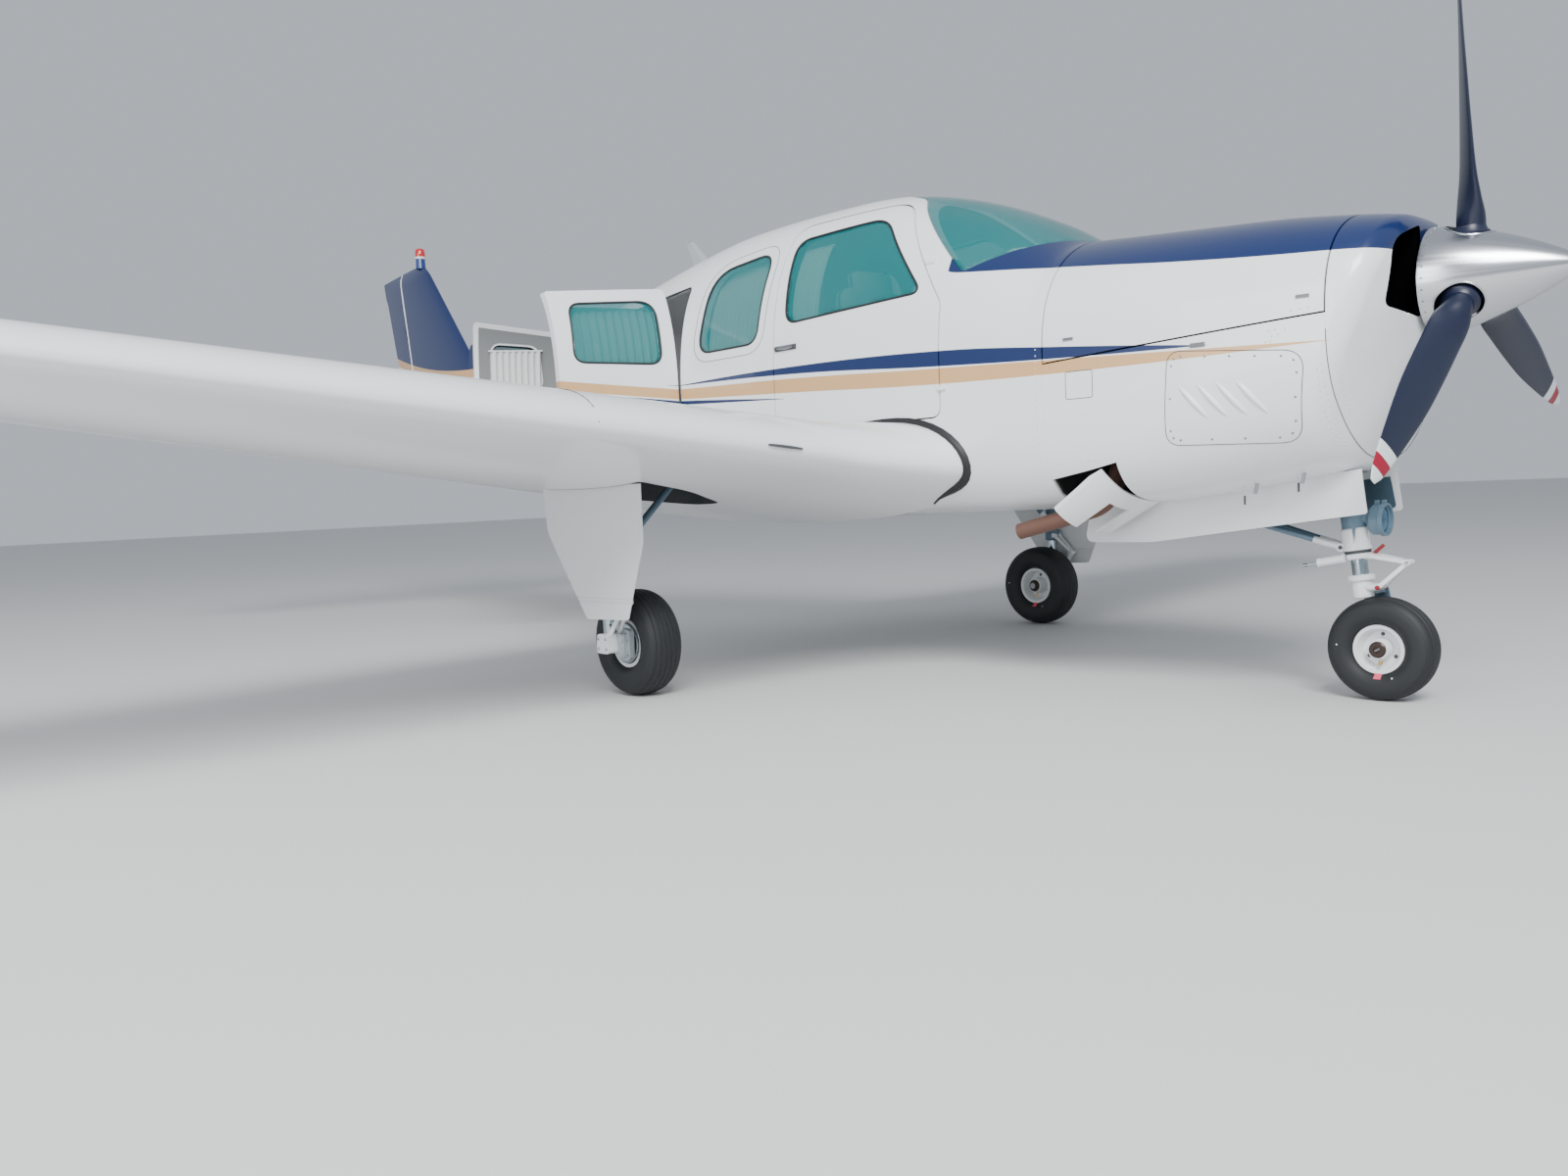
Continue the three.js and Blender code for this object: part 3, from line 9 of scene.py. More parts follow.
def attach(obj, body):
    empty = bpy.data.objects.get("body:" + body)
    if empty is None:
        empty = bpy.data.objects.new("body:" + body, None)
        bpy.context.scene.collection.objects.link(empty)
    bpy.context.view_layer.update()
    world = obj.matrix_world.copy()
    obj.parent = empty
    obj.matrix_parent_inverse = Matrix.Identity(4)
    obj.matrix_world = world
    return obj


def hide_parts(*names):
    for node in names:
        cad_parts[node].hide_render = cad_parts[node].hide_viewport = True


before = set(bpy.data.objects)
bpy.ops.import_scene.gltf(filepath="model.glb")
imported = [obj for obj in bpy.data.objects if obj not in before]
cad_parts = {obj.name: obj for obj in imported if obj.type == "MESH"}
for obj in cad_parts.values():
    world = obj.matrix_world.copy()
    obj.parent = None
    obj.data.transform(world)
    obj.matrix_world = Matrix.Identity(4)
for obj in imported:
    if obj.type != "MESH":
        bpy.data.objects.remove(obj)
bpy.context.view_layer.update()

# Cabin shell: aluminium sheet riveted over frames and painted, 40 mm thick with its lining.
# It is cut out for the windshield, the windows and the three doors on the right side.
# The rows: station, bottom, top, half width, height of the widest point, squareness above it and below it.
FUSELAGE = np.array([
    [-3.62, 1.215, 1.700, 0.062, 1.44, 2.0, 2.0], [-2.90, 1.085, 1.738, 0.186, 1.40, 2.0, 2.3],
    [-2.10, 0.950, 1.800, 0.300, 1.35, 2.1, 2.6], [-1.40, 0.840, 1.868, 0.398, 1.32, 2.2, 3.0],
    [-0.90, 0.775, 1.925, 0.462, 1.31, 2.3, 3.4], [-0.25, 0.722, 2.018, 0.528, 1.30, 2.4, 4.0],
    [0.20, 0.705, 2.092, 0.556, 1.30, 2.45, 4.3], [0.60, 0.698, 2.141, 0.566, 1.30, 2.45, 4.5],
    [1.30, 0.695, 2.143, 0.568, 1.30, 2.45, 4.5], [1.629, 0.695, 2.112, 0.567, 1.30, 2.4, 4.5],
    [1.949, 0.695, 2.022, 0.566, 1.30, 2.35, 4.5], [2.246, 0.696, 1.888, 0.564, 1.29, 2.3, 4.5],
    [2.466, 0.699, 1.757, 0.561, 1.28, 2.3, 4.5], [2.535, 0.700, 1.748, 0.560, 1.28, 2.3, 4.5],
    [2.95, 0.725, 1.712, 0.540, 1.28, 2.4, 3.8], [3.30, 0.770, 1.682, 0.510, 1.28, 2.5, 3.2],
    [3.54, 0.812, 1.648, 0.475, 1.29, 2.6, 2.8], [3.64, 0.850, 1.630, 0.440, 1.30, 2.6, 2.4],
    [3.70, 0.885, 1.612, 0.405, 1.30, 2.6, 2.2]])
TAIL_JOINT, FIREWALL = -1.4, 2.535
WINDSHIELD = [(2.125, 1.652, 0.03), (2.56, 1.788), (2.56, 2.4), (1.39, 2.4), (1.452, 2.15),
              (1.735, 2.052, 0.05)]
CABIN_DOOR = [(2.046, 1.09, 0.045), (2.046, 1.54, 0.02), (1.715, 2.04, 0.11), (1.075, 2.04, 0.07),
              (1.075, 1.09, 0.045)]
DOOR_WINDOW = [(1.945, 1.6, 0.06), (1.64, 1.975, 0.09), (1.125, 1.965, 0.07), (1.15, 1.575, 0.07)]
MID_WINDOW = [(0.955, 1.512, 0.08), (0.985, 1.945, 0.12), (0.56, 1.905, 0.13), (0.515, 1.512, 0.09)]
CARGO_FRONT = [(0.365, 1.13, 0.02), (0.365, 1.87, 0.03), (-0.262, 1.83, 0.02), (-0.262, 1.13, 0.02)]
CARGO_FRONT_WINDOW = [(0.285, 1.478, 0.07), (0.29, 1.8, 0.09), (-0.165, 1.768, 0.06), (-0.18, 1.478, 0.06)]
CARGO_REAR = [(-0.272, 1.13, 0.02), (-0.272, 1.826, 0.02), (-0.79, 1.755, 0.03), (-0.79, 1.13, 0.02)]
CARGO_REAR_WINDOW = [(-0.37, 1.47, 0.05), (-0.37, 1.71, 0.05), (-0.62, 1.69, 0.06), (-0.64, 1.47, 0.05)]


def smooth(table, x):
    """Values at x from rows whose first column ascends: a cubic between neighbouring rows, whose slope at a
    row is that of the chord from the row before to the row after."""
    x = np.asarray(x, float)
    at, rows = table[:, 0], table[:, 1:]
    i = np.clip(np.searchsorted(at, x) - 1, 0, len(at) - 2)
    before, after = np.maximum(i - 1, 0), np.minimum(i + 2, len(at) - 1)
    span = (at[i + 1] - at[i])[..., None]
    t = np.clip((x - at[i])[..., None] / span, 0, 1)
    leaving = span * (rows[i + 1] - rows[before]) / (at[i + 1] - at[before])[..., None]
    arriving = span * (rows[after] - rows[i]) / (at[after] - at[i])[..., None]
    return ((2 * t**3 - 3 * t**2 + 1) * rows[i] + (t**3 - 2 * t**2 + t) * leaving
            + (3 * t**2 - 2 * t**3) * rows[i + 1] + (t**3 - t**2) * arriving)


def hull_ring(x, inset=0.0, count=144):
    """Section of the fuselage at station x, set in by a distance: a rounded box, whose sine and cosine are
    raised to two over the squareness, walked round in equal steps of length."""
    bottom, top, half, wide, upper, lower = smooth(FUSELAGE, x)
    angle = np.linspace(0, 2 * np.pi, 1441)
    up, across = np.cos(angle), np.sin(angle)
    power = 2 / np.where(up > 0, upper, lower)
    reach = np.where(up > 0, top - wide, wide - bottom) - inset
    y = (half - inset) * np.sign(across) * np.abs(across) ** power
    z = wide + reach * np.sign(up) * np.abs(up) ** power
    walked = np.r_[0, np.cumsum(np.hypot(np.diff(y), np.diff(z)))]
    step = (np.arange(count) + 0.5) / count * walked[-1]
    return np.stack([np.full(count, float(x)), np.interp(step, walked, y), np.interp(step, walked, z)], -1)


def skin_level(p):
    """How far out a point lies in its section: one on the skin, less inside it."""
    bottom, top, half, wide, upper, lower = np.moveaxis(smooth(FUSELAGE, p[..., 0]), -1, 0)
    rise = p[..., 2] - wide
    power = np.where(rise > 0, upper, lower)
    reach = np.where(rise > 0, top - wide, wide - bottom)
    return np.abs(p[..., 1] / half) ** power + np.abs(rise / reach) ** power


def skin_depth(p):
    """How deep a point lies under the skin: what its level lacks to one, over the slope of the level."""
    steps = 1e-4 * np.eye(3)
    slope = np.stack([skin_level(p + s) - skin_level(p - s) for s in steps], -1) / 2e-4
    return (1 - skin_level(p)) / np.maximum(np.linalg.norm(slope, axis=-1), 0.05)


def outward(p, depth=skin_depth):
    """Direction out of a body: against the slope of the depth along each axis, from differences."""
    steps = 1e-4 * np.eye(3)
    slope = np.stack([depth(p - s) - depth(p + s) for s in steps], -1)
    return slope / np.linalg.norm(slope, axis=-1, keepdims=True)


def shade(mesh, sharp=35):
    """Shades a mesh smooth but for edges sharper than an angle in degrees."""
    mesh.shade_smooth()
    mesh.set_sharp_from_angle(angle=math.radians(sharp))


def new_piece(name, points, faces, material, sharp=35, body="airframe"):
    """Mesh of points and faces, turned to face outwards, shaded, and riding on a body unless that is none."""
    mesh = bpy.data.meshes.new(name)
    mesh.from_pydata(np.asarray(points, float).reshape(-1, 3).tolist(), [],
                     [list(map(int, f)) for f in faces])
    bm = bmesh.new()
    bm.from_mesh(mesh)
    bmesh.ops.recalc_face_normals(bm, faces=bm.faces)
    bm.to_mesh(mesh)
    bm.free()
    shade(mesh, sharp)
    mesh.materials.append(material)
    piece = bpy.data.objects.new(name, mesh)
    bpy.context.scene.collection.objects.link(piece)
    if body:
        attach(piece, body)
    return piece


def tube_faces(rows, count, looped=False):
    """Four-sided faces between neighbouring rings of a tube, with both ends closed unless it is looped."""
    i, j = np.meshgrid(np.arange(rows if looped else rows - 1), np.arange(count), indexing="ij")
    a, b = i * count + j, i * count + (j + 1) % count
    c, d = (i + 1) % rows * count + (j + 1) % count, (i + 1) % rows * count + j
    faces = np.stack([a, b, c, d], -1).reshape(-1, 4).tolist()
    ends = [list(range(count))[::-1], [(rows - 1) * count + k for k in range(count)]]
    return faces if looped else faces + ends


def barrel(name, rear, front, wall, material, inset=0.0, body="airframe"):
    """Length of fuselage skin as a closed sheet: outer rings from rear to front, then the same rings set in
    by the wall, back to the rear."""
    stations = np.linspace(rear, front, max(3, int((front - rear) / 0.03)))
    outer = [hull_ring(x, inset) for x in stations]
    inner = [hull_ring(x, inset + wall) for x in stations[::-1]]
    rings = np.array(outer + inner)
    return new_piece(name, rings, tube_faces(len(rings), rings.shape[1], looped=True), material, body=body)


def rounded(corners, grow=0.0, steps=8):
    """Outline whose corners are rounded by a parabola over their radius, with each side moved out by grow."""
    points = np.array([c[:2] for c in corners], float)
    radius = np.array([c[2] if len(c) > 2 else 0.0 for c in corners])
    before, after = np.roll(points, 1, 0), np.roll(points, -1, 0)
    area = (points[:, 0] * after[:, 1] - after[:, 0] * points[:, 1]).sum()
    a = (points - before) / np.linalg.norm(points - before, axis=1, keepdims=True)
    b = (after - points) / np.linalg.norm(after - points, axis=1, keepdims=True)
    out = grow * np.sign(area)
    cross = a[:, 0] * b[:, 1] - a[:, 1] * b[:, 0]
    shift = out * np.stack([a[:, 1], -a[:, 0]], 1)
    gap = out * np.stack([b[:, 1], -b[:, 0]], 1) - shift
    slide = (gap[:, 0] * b[:, 1] - gap[:, 1] * b[:, 0]) / cross
    points = points + shift + a * slide[:, None]
    radius = np.where(radius > 0, np.maximum(radius + grow, 0.002), 0.0)
    t = np.linspace(0, 1, steps)[None, :, None]
    near, far = (points - a * radius[:, None])[:, None], (points + b * radius[:, None])[:, None]
    curve = (1 - t) ** 2 * near + 2 * t * (1 - t) * points[:, None] + t**2 * far
    kept = [c if r > 0 else p[None] for c, r, p in zip(curve, radius, points)]
    return np.concatenate(kept)


def prism(name, outline, low, high, axis, material):
    """Solid of an outline stretched from low to high along an axis; its points are the other two axes."""
    flat = np.repeat(outline[None], 2, 0)
    level = np.array([low, high])[:, None, None] * np.ones((2, len(outline), 1))
    rings = np.insert(flat, "xyz".index(axis), level[..., 0], axis=2)
    return new_piece(name, rings, tube_faces(2, len(outline)), material)


def carve(target, cutter, operation="DIFFERENCE"):
    """Cuts a closed solid out of a piece, adds it or keeps what is inside it; the solid is used up."""
    change = target.modifiers.new("carve", "BOOLEAN")
    change.object = cutter
    change.operation = operation
    change.solver = "MANIFOLD"
    change.material_mode = "TRANSFER"
    bpy.context.view_layer.update()
    carved = bpy.data.meshes.new_from_object(target.evaluated_get(bpy.context.evaluated_depsgraph_get()))
    target.modifiers.clear()
    target.data = carved
    bpy.data.objects.remove(cutter)
    return target


def follow_skin(piece, depth=skin_depth):
    """Shades the faces on a curved skin along its true curve, and every other face flat."""
    mesh = piece.data
    vertex = np.empty(len(mesh.loops), np.int32)
    mesh.loops.foreach_get("vertex_index", vertex)
    place = np.empty(3 * len(mesh.vertices))
    mesh.vertices.foreach_get("co", place)
    place = place.reshape(-1, 3)
    corners = np.empty(len(mesh.polygons), np.int32)
    mesh.polygons.foreach_get("loop_total", corners)
    facing = np.empty(3 * len(mesh.polygons))
    mesh.polygons.foreach_get("normal", facing)
    flat = np.repeat(facing.reshape(-1, 3), corners, 0)
    curve, deep = outward(place, depth)[vertex], depth(place)[vertex]
    outer = ((flat * curve).sum(1) > 0.9) & (np.abs(deep) < 0.006)
    mesh.shade_smooth()
    mesh.normals_split_custom_set(np.where(outer[:, None], curve, flat).tolist())


def number(tree, operation, *values, clamp=False):
    """Arithmetic step of a material."""
    node = tree.nodes.new("ShaderNodeMath")
    node.operation = operation
    node.use_clamp = clamp
    for socket, value in zip(node.inputs, values):
        if isinstance(value, bpy.types.NodeSocket):
            tree.links.new(value, socket)
        else:
            socket.default_value = value
    return node.outputs[0]


def finish_of(name, colour, roughness=0.5, metallic=0.0, coat=0.0):
    """Plain material of one colour."""
    material = bpy.data.materials.new(name)
    material.use_nodes = True
    shader = material.node_tree.nodes["Principled BSDF"]
    shader.inputs["Base Color"].default_value = (*colour, 1)
    shader.inputs["Roughness"].default_value = roughness
    shader.inputs["Metallic"].default_value = metallic
    shader.inputs["Coat Weight"].default_value = coat
    shader.inputs["Coat Roughness"].default_value = 0.06
    return material


def past(tree, value, limit):
    """One where a value is past a limit and nothing short of it, over an edge 0.7 mm wide."""
    return number(tree, "MULTIPLY", number(tree, "SUBTRACT", value, limit), 1500, clamp=True)


def coordinates(tree, place=None):
    """Sockets of x, y and z of the point that is shaded, or of another place."""
    parts = tree.nodes.new("ShaderNodeSeparateXYZ")
    if place is None:
        place = tree.nodes.new("ShaderNodeTexCoord").outputs["Object"]
    tree.links.new(place, parts.inputs[0])
    return parts.outputs["X"], parts.outputs["Y"], parts.outputs["Z"]


def coats(tree, ground, layers):
    """Colour of a material: a ground colour, and each coat laid over it where the coat's share is one."""
    colour = None
    for share, paint in layers:
        mix = tree.nodes.new("ShaderNodeMix")
        mix.data_type = "RGBA"
        tree.links.new(share, mix.inputs["Factor"])
        if colour is None:
            mix.inputs["A"].default_value = (*ground, 1)
        else:
            tree.links.new(colour, mix.inputs["A"])
        mix.inputs["B"].default_value = (*paint, 1)
        colour = mix.outputs["Result"]
    tree.links.new(colour, tree.nodes["Principled BSDF"].inputs["Base Color"])


WHITE, BLUE, GOLD = (0.80, 0.82, 0.83), (0.003, 0.016, 0.085), (0.60, 0.36, 0.17)


def livery(name, moved=False):
    """White paint with the blue top of the nose and the gold and blue stripes. Each edge is a height along
    the fuselage, a smooth curve through points; moved pieces keep where they were painted as an attribute."""
    material = finish_of(name, WHITE, 0.32, coat=0.5)
    tree = material.node_tree
    place = None
    if moved:
        source = tree.nodes.new("ShaderNodeAttribute")
        source.attribute_name = "closed"
        place = source.outputs["Vector"]
    x, _, z = coordinates(tree, place)

    def edge(points):
        """One above a smooth curve through points of station and height, nothing below it."""
        node = tree.nodes.new("ShaderNodeFloatCurve")
        line = node.mapping.curves[0]
        share = [((px + 3.75) / 7.5, (pz - 1.1) / 0.7) for px, pz in points]
        line.points[0].location, line.points[1].location = share[0], share[-1]
        for point in share[1:-1]:
            line.points.new(*point)
        node.mapping.update()
        tree.links.new(number(tree, "DIVIDE", number(tree, "ADD", x, 3.75), 7.5), node.inputs["Value"])
        height = number(tree, "ADD", number(tree, "MULTIPLY", node.outputs[0], 0.7), 1.1)
        return past(tree, z, height)

    def ahead(station):
        """One ahead of a station, nothing behind it."""
        return past(tree, x, station)

    def band(low, high, rear, front):
        """One between two curves and two stations."""
        inside = number(tree, "MULTIPLY", edge(low), number(tree, "SUBTRACT", 1.0, edge(high)))
        inside = number(tree, "MULTIPLY", inside, ahead(rear))
        return number(tree, "MULTIPLY", inside, number(tree, "SUBTRACT", 1.0, ahead(front)))

    top = edge([(-3.7, 1.79), (2.0, 1.70), (2.065, 1.661), (2.211, 1.642), (2.448, 1.619), (2.709, 1.586),
                (3.026, 1.544), (3.365, 1.509), (3.572, 1.494), (3.73, 1.482)])
    top = number(tree, "MULTIPLY", top, ahead(2.06))
    gold = band([(-3.6, 1.5), (-2.0, 1.44), (-0.8, 1.375), (0.33, 1.306), (1.2, 1.262), (2.049, 1.218),
                 (2.8, 1.202), (3.55, 1.212)],
                [(-3.6, 1.535), (-2.0, 1.48), (-0.8, 1.42), (0.33, 1.356), (1.2, 1.325), (2.049, 1.28),
                 (2.8, 1.245), (3.55, 1.213)], -3.7, 3.55)
    upper = band([(0.3, 1.372), (1.2, 1.345), (2.049, 1.288), (2.6, 1.258), (3.171, 1.239)],
                 [(0.3, 1.373), (1.2, 1.378), (2.049, 1.349), (2.6, 1.3), (3.171, 1.24)], 0.3, 3.171)
    lower = band([(-3.6, 1.455), (-2.0, 1.4), (-0.8, 1.34), (0.33, 1.278), (1.135, 1.238)],
                 [(-3.6, 1.485), (-2.0, 1.43), (-0.8, 1.365), (0.33, 1.298), (1.135, 1.24)], -3.7, 1.135)
    blue = number(tree, "MAXIMUM", top, number(tree, "MAXIMUM", upper, lower))
    coats(tree, WHITE, ((gold, GOLD), (blue, BLUE)))
    return material


skin_paint = livery("skin_paint")
cabin = barrel("cabin_skin", TAIL_JOINT, FIREWALL - 0.0003, 0.04, skin_paint)
ACROSS, RIGHT, LEFT = (-0.9, 0.9), (-0.9, -0.09), (0.09, 0.9)   # how far the openings are cut
for outline, span, grow in (
        (WINDSHIELD, ACROSS, 0.0), (CABIN_DOOR, RIGHT, 0.006), (MID_WINDOW, RIGHT, 0.0),
        (CARGO_FRONT, RIGHT, 0.006), (CARGO_REAR, RIGHT, 0.006), (DOOR_WINDOW, LEFT, 0.0),
        (MID_WINDOW, LEFT, 0.0), (CARGO_FRONT_WINDOW, LEFT, 0.0), (CARGO_REAR_WINDOW, LEFT, 0.0)):
    carve(cabin, prism("cutter", rounded(outline, grow), *span, "y", skin_paint))
follow_skin(cabin)
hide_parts("cabin_shell")

# Windshield and cabin windows: green tinted acrylic sheet 6 mm thick, formed to the fuselage and 3 mm below
# the skin; the cabin windows are held all round in black rubber seals.
GLASS_INSET, GLASS = 0.003, 0.006
tinted = finish_of("tinted", (0.01, 0.21, 0.22), 0.03)
tinted.node_tree.nodes["Principled BSDF"].inputs["Alpha"].default_value = 0.46
seal_rubber = finish_of("seal_rubber", (0.012, 0.012, 0.014), 0.5)


def on_side(x, z, side=-1, out=0.0):
    """Points on the skin at stations x and heights z of the right (-1) or left (1) side, moved out by a
    distance along the skin's normal."""
    x, z = np.broadcast_arrays(np.asarray(x, float), np.asarray(z, float))
    bottom, top, half, wide, upper, lower = np.moveaxis(smooth(FUSELAGE, x), -1, 0)
    rise = z - wide
    power = np.where(rise > 0, upper, lower)
    share = np.clip(np.abs(rise / np.where(rise > 0, top - wide, wide - bottom)), 0, 0.9999)
    p = np.stack([x, side * half * (1 - share**power) ** (1 / power), z], -1)
    return p + out * outward(p)


def strip(path, radius, material, name, closed=False, sides=8, body="airframe"):
    """Round strip along a path: circles square to it, whose size may vary from point to point."""
    path = np.asarray(path, float)
    ahead, back = (np.roll(path, -1, 0), np.roll(path, 1, 0)) if closed else (
        np.r_[path[1:], path[-1:]], np.r_[path[:1], path[:-1]])
    along = ahead - back
    along /= np.linalg.norm(along, axis=1, keepdims=True)
    guide = np.eye(3)[np.argmin(np.abs(along).max(0))]
    first = np.cross(along, guide)
    first /= np.linalg.norm(first, axis=1, keepdims=True)
    second = np.cross(along, first)
    angle = 2 * np.pi * np.arange(sides) / sides
    size = np.broadcast_to(np.asarray(radius, float), len(path))[:, None, None]
    rings = path[:, None] + size * (np.cos(angle)[None, :, None] * first[:, None]
                                    + np.sin(angle)[None, :, None] * second[:, None])
    return new_piece(name, rings, tube_faces(len(path), sides, looped=closed), material, body=body)


def divided(outline, length=0.02):
    """The outline with points added along it, no further apart than a length."""
    after = np.roll(outline, -1, 0)
    steps = np.maximum(1, np.ceil(np.linalg.norm(after - outline, axis=1) / length)).astype(int)
    start = np.repeat(np.arange(len(outline)), steps)
    share = np.concatenate([np.arange(n) / n for n in steps])[:, None]
    return outline[start] * (1 - share) + after[start] * share


def skin_line(corners, side, out=0.0, grow=0.0):
    """Points on the skin along an outline."""
    line = divided(rounded(corners, grow))
    return on_side(line[:, 0], line[:, 1], side, out)


def seal(name, corners, side, body="airframe"):
    """Rubber strip on the skin along an outline, 10 mm thick and sunk 1 mm."""
    return strip(skin_line(corners, side, -0.001), 0.005, seal_rubber, name, closed=True, body=body)


def glass(name, corners, span, rear, front, node, body="airframe"):
    """Pane cut out of a thin barrel, just below the skin."""
    pane = barrel(name, rear, front, GLASS, tinted, GLASS_INSET, body)
    carve(pane, prism("cutter", rounded(corners, -0.0003), *span, "y", tinted), "INTERSECT")
    pane.data.shade_smooth()
    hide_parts(node)
    return pane


glass("windshield_pane", WINDSHIELD, ACROSS, 1.3, 2.5, "windshield")
side_windows = (("front", DOOR_WINDOW), ("middle", MID_WINDOW), ("third", CARGO_FRONT_WINDOW),
                ("rear", CARGO_REAR_WINDOW))
for place, corners in side_windows:
    stations = [c[0] for c in corners]
    glass(f"left_{place}_pane", corners, LEFT, min(stations) - 0.05, max(stations) + 0.05,
          f"window_left_{place}")
    seal(f"left_{place}_seal", corners, 1)
glass("right_middle_pane", MID_WINDOW, RIGHT, 0.45, 1.05, "window_right_middle")
seal("right_middle_seal", MID_WINDOW, -1)

# Doors: pressed aluminium leaves as thick as the wall, each with its window in a rubber seal. The cabin door
# is shut; the two cargo doors stand open on hinges at their outer edges.
# The rows: name, its window, the outlines of both, a point of the hinge's line, degrees that it stands open.
DOORS = (("cabin_door", "window_cabin_door", CABIN_DOOR, DOOR_WINDOW, (2.049, -0.5758, 1.3), 0),
         ("cargo_door_front", "window_cargo_front", CARGO_FRONT, CARGO_FRONT_WINDOW,
          (0.368, -0.568, 1.5), 82),
         ("cargo_door_rear", "window_cargo_rear", CARGO_REAR, CARGO_REAR_WINDOW,
          (-0.793, -0.482, 1.5), -112))
door_paint = livery("door_paint", moved=True)


def opened(piece, hinge, degrees, axis="Z"):
    """Turns a piece from closed to where it stands, about a line through its hinge."""
    away = Matrix.Translation(-Vector(hinge))
    turn = Matrix.Translation(hinge) @ Matrix.Rotation(math.radians(degrees), 4, axis) @ away
    piece.data.transform(turn)
    return piece


def keep_closed_place(piece):
    """Notes where each point lies with the door closed, for the stripes."""
    place = np.empty(3 * len(piece.data.vertices), np.float32)
    piece.data.vertices.foreach_get("co", place)
    piece.data.attributes.new("closed", "FLOAT_VECTOR", "POINT").data.foreach_set("vector", place)


for name, window_node, edge_line, window_line, hinge, degrees in DOORS:
    stations = [c[0] for c in edge_line]
    leaf = barrel(name + "_leaf", min(stations) - 0.04, max(stations) + 0.04, 0.04, door_paint, body=name)
    carve(leaf, prism("cutter", rounded(edge_line), *RIGHT, "y", door_paint), "INTERSECT")
    carve(leaf, prism("cutter", rounded(window_line), *RIGHT, "y", seal_rubber))
    keep_closed_place(leaf)
    follow_skin(leaf)
    pane = glass(name + "_pane", window_line, RIGHT, min(stations), max(stations), window_node, name)
    bead = seal(name + "_seal", window_line, -1, body=name)
    for piece in (leaf, pane, bead):
        opened(piece, hinge, degrees)
    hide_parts(name)

# Tail cone: riveted aluminium skin over frames, 8 mm thick with its stiffeners. It is open in front, where it
# butts against the cabin.
cone = barrel("tail_cone_skin", -3.62, TAIL_JOINT - 0.0003, 0.008, skin_paint)
follow_skin(cone)
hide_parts("tail_cone")

# Tailplane and elevators: aluminium skins over ribs. The tailplane is one surface carried through the tail
# cone; the two elevators are joined by a steel tube and turn on a line of hinges.
TAIL = np.array([   # distance out, leading edge, chord, thickness
    [0, -2.70, 1.210, 0.09], [0.15, -2.75, 1.160, 0.09], [1.70, -3.18, 0.730, 0.085],
    [1.82, -3.225, 0.650, 0.07], [1.855, -3.29, 0.520, 0.05]])
TAIL_Z, ELEVATOR_HINGE, ELEVATOR_Y = 1.555, -3.5, 0.165


def foil(share, thickness, camber):
    """Half thickness and mean line of a five-digit aerofoil at a share of the chord: a square root and powers
    of the share for the thickness; a cubic and then a straight line for the camber."""
    half = 5 * thickness * (0.2969 * np.sqrt(share) - 0.126 * share - 0.3516 * share**2 + 0.2843 * share**3
                            - 0.1036 * share**4) + 0.0006
    m, k = 0.2025, 15.957
    line = np.where(share < m, k / 6 * (share**3 - 3 * m * share**2 + m * m * (3 - m) * share),
                    k * m**3 / 6 * (1 - share))
    return half, camber * line


def foil_ring(chord, thickness, camber, degrees, points=34):
    """Distance ahead of the leading edge and height round an aerofoil, from the rear over the top and back
    below, closer together at the nose, tilted by its incidence."""
    share = (1 + np.cos(np.pi * np.arange(points) / (points - 0.5))) / 2
    half, line = foil(share, thickness, camber)
    back = np.r_[share, share[::-1]] * chord
    up = np.r_[line + half, (line - half)[::-1]] * chord
    tilt = np.radians(degrees)
    return -back * np.cos(tilt), up - back * np.sin(tilt)


def rod(name, a, b, radius, sides, material, body="airframe"):
    """Solid rod between two points, or a cone when a radius is given for each."""
    return strip([a, b], radius, material, name, sides=sides, body=body)


def block(name, low, high, material, body="airframe"):
    """Solid box between two corners."""
    (x0, y0, z0), (x1, y1, z1) = low, high
    points = [(x, y, z) for z in (z0, z1) for x, y in ((x0, y0), (x1, y0), (x1, y1), (x0, y1))]
    return new_piece(name, points, tube_faces(2, 4), material, body=body)


def copy_of(piece, name):
    """Second piece with the same mesh."""
    other = piece.copy()
    other.data = piece.data.copy()
    other.name = name
    bpy.context.scene.collection.objects.link(other)
    return other


def behind(a, b, ahead, up, grow, reach=0.7):
    """Solid behind a hinge line from a to b: it starts ahead of the line and is longer than it by grow."""
    a, b, up = np.array(a), np.array(b), np.array(up)
    along = (b - a) / np.linalg.norm(b - a)
    ends = [a - along * grow, b + along * grow]
    rings = [[e + 0.4 * up + [ahead, 0, 0], e - 0.4 * up + [ahead, 0, 0], e - 0.4 * up - [reach, 0, 0],
              e + 0.4 * up - [reach, 0, 0]] for e in ends]
    return new_piece("cutter", rings, tube_faces(2, 4), skin_paint)


def hinged_surface(carrier, name, a, b, radius_a, radius_b, up, body):
    """Cuts a control surface out of its carrier: a round nose about the hinge line and a hollow round it."""
    a, b = np.array(a), np.array(b)
    along = (b - a) / np.linalg.norm(b - a)
    surface = copy_of(carrier, name)
    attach(surface, body)
    cutter = behind(a, b, 0, up, 0)
    carve(cutter, rod("nose", a, b, (radius_a * 0.93, radius_b * 0.93), 24, skin_paint), "UNION")
    carve(surface, cutter, "INTERSECT")
    carve(carrier, behind(a, b, 0.006, up, 0.014))
    a2, b2 = a - along * 0.014, b + along * 0.014
    carve(carrier, rod("cove", a2, b2, (radius_a * 1.12 + 0.006, radius_b * 1.12 + 0.006), 24, skin_paint))
    for piece in (surface, carrier):
        shade(piece.data)
    return surface


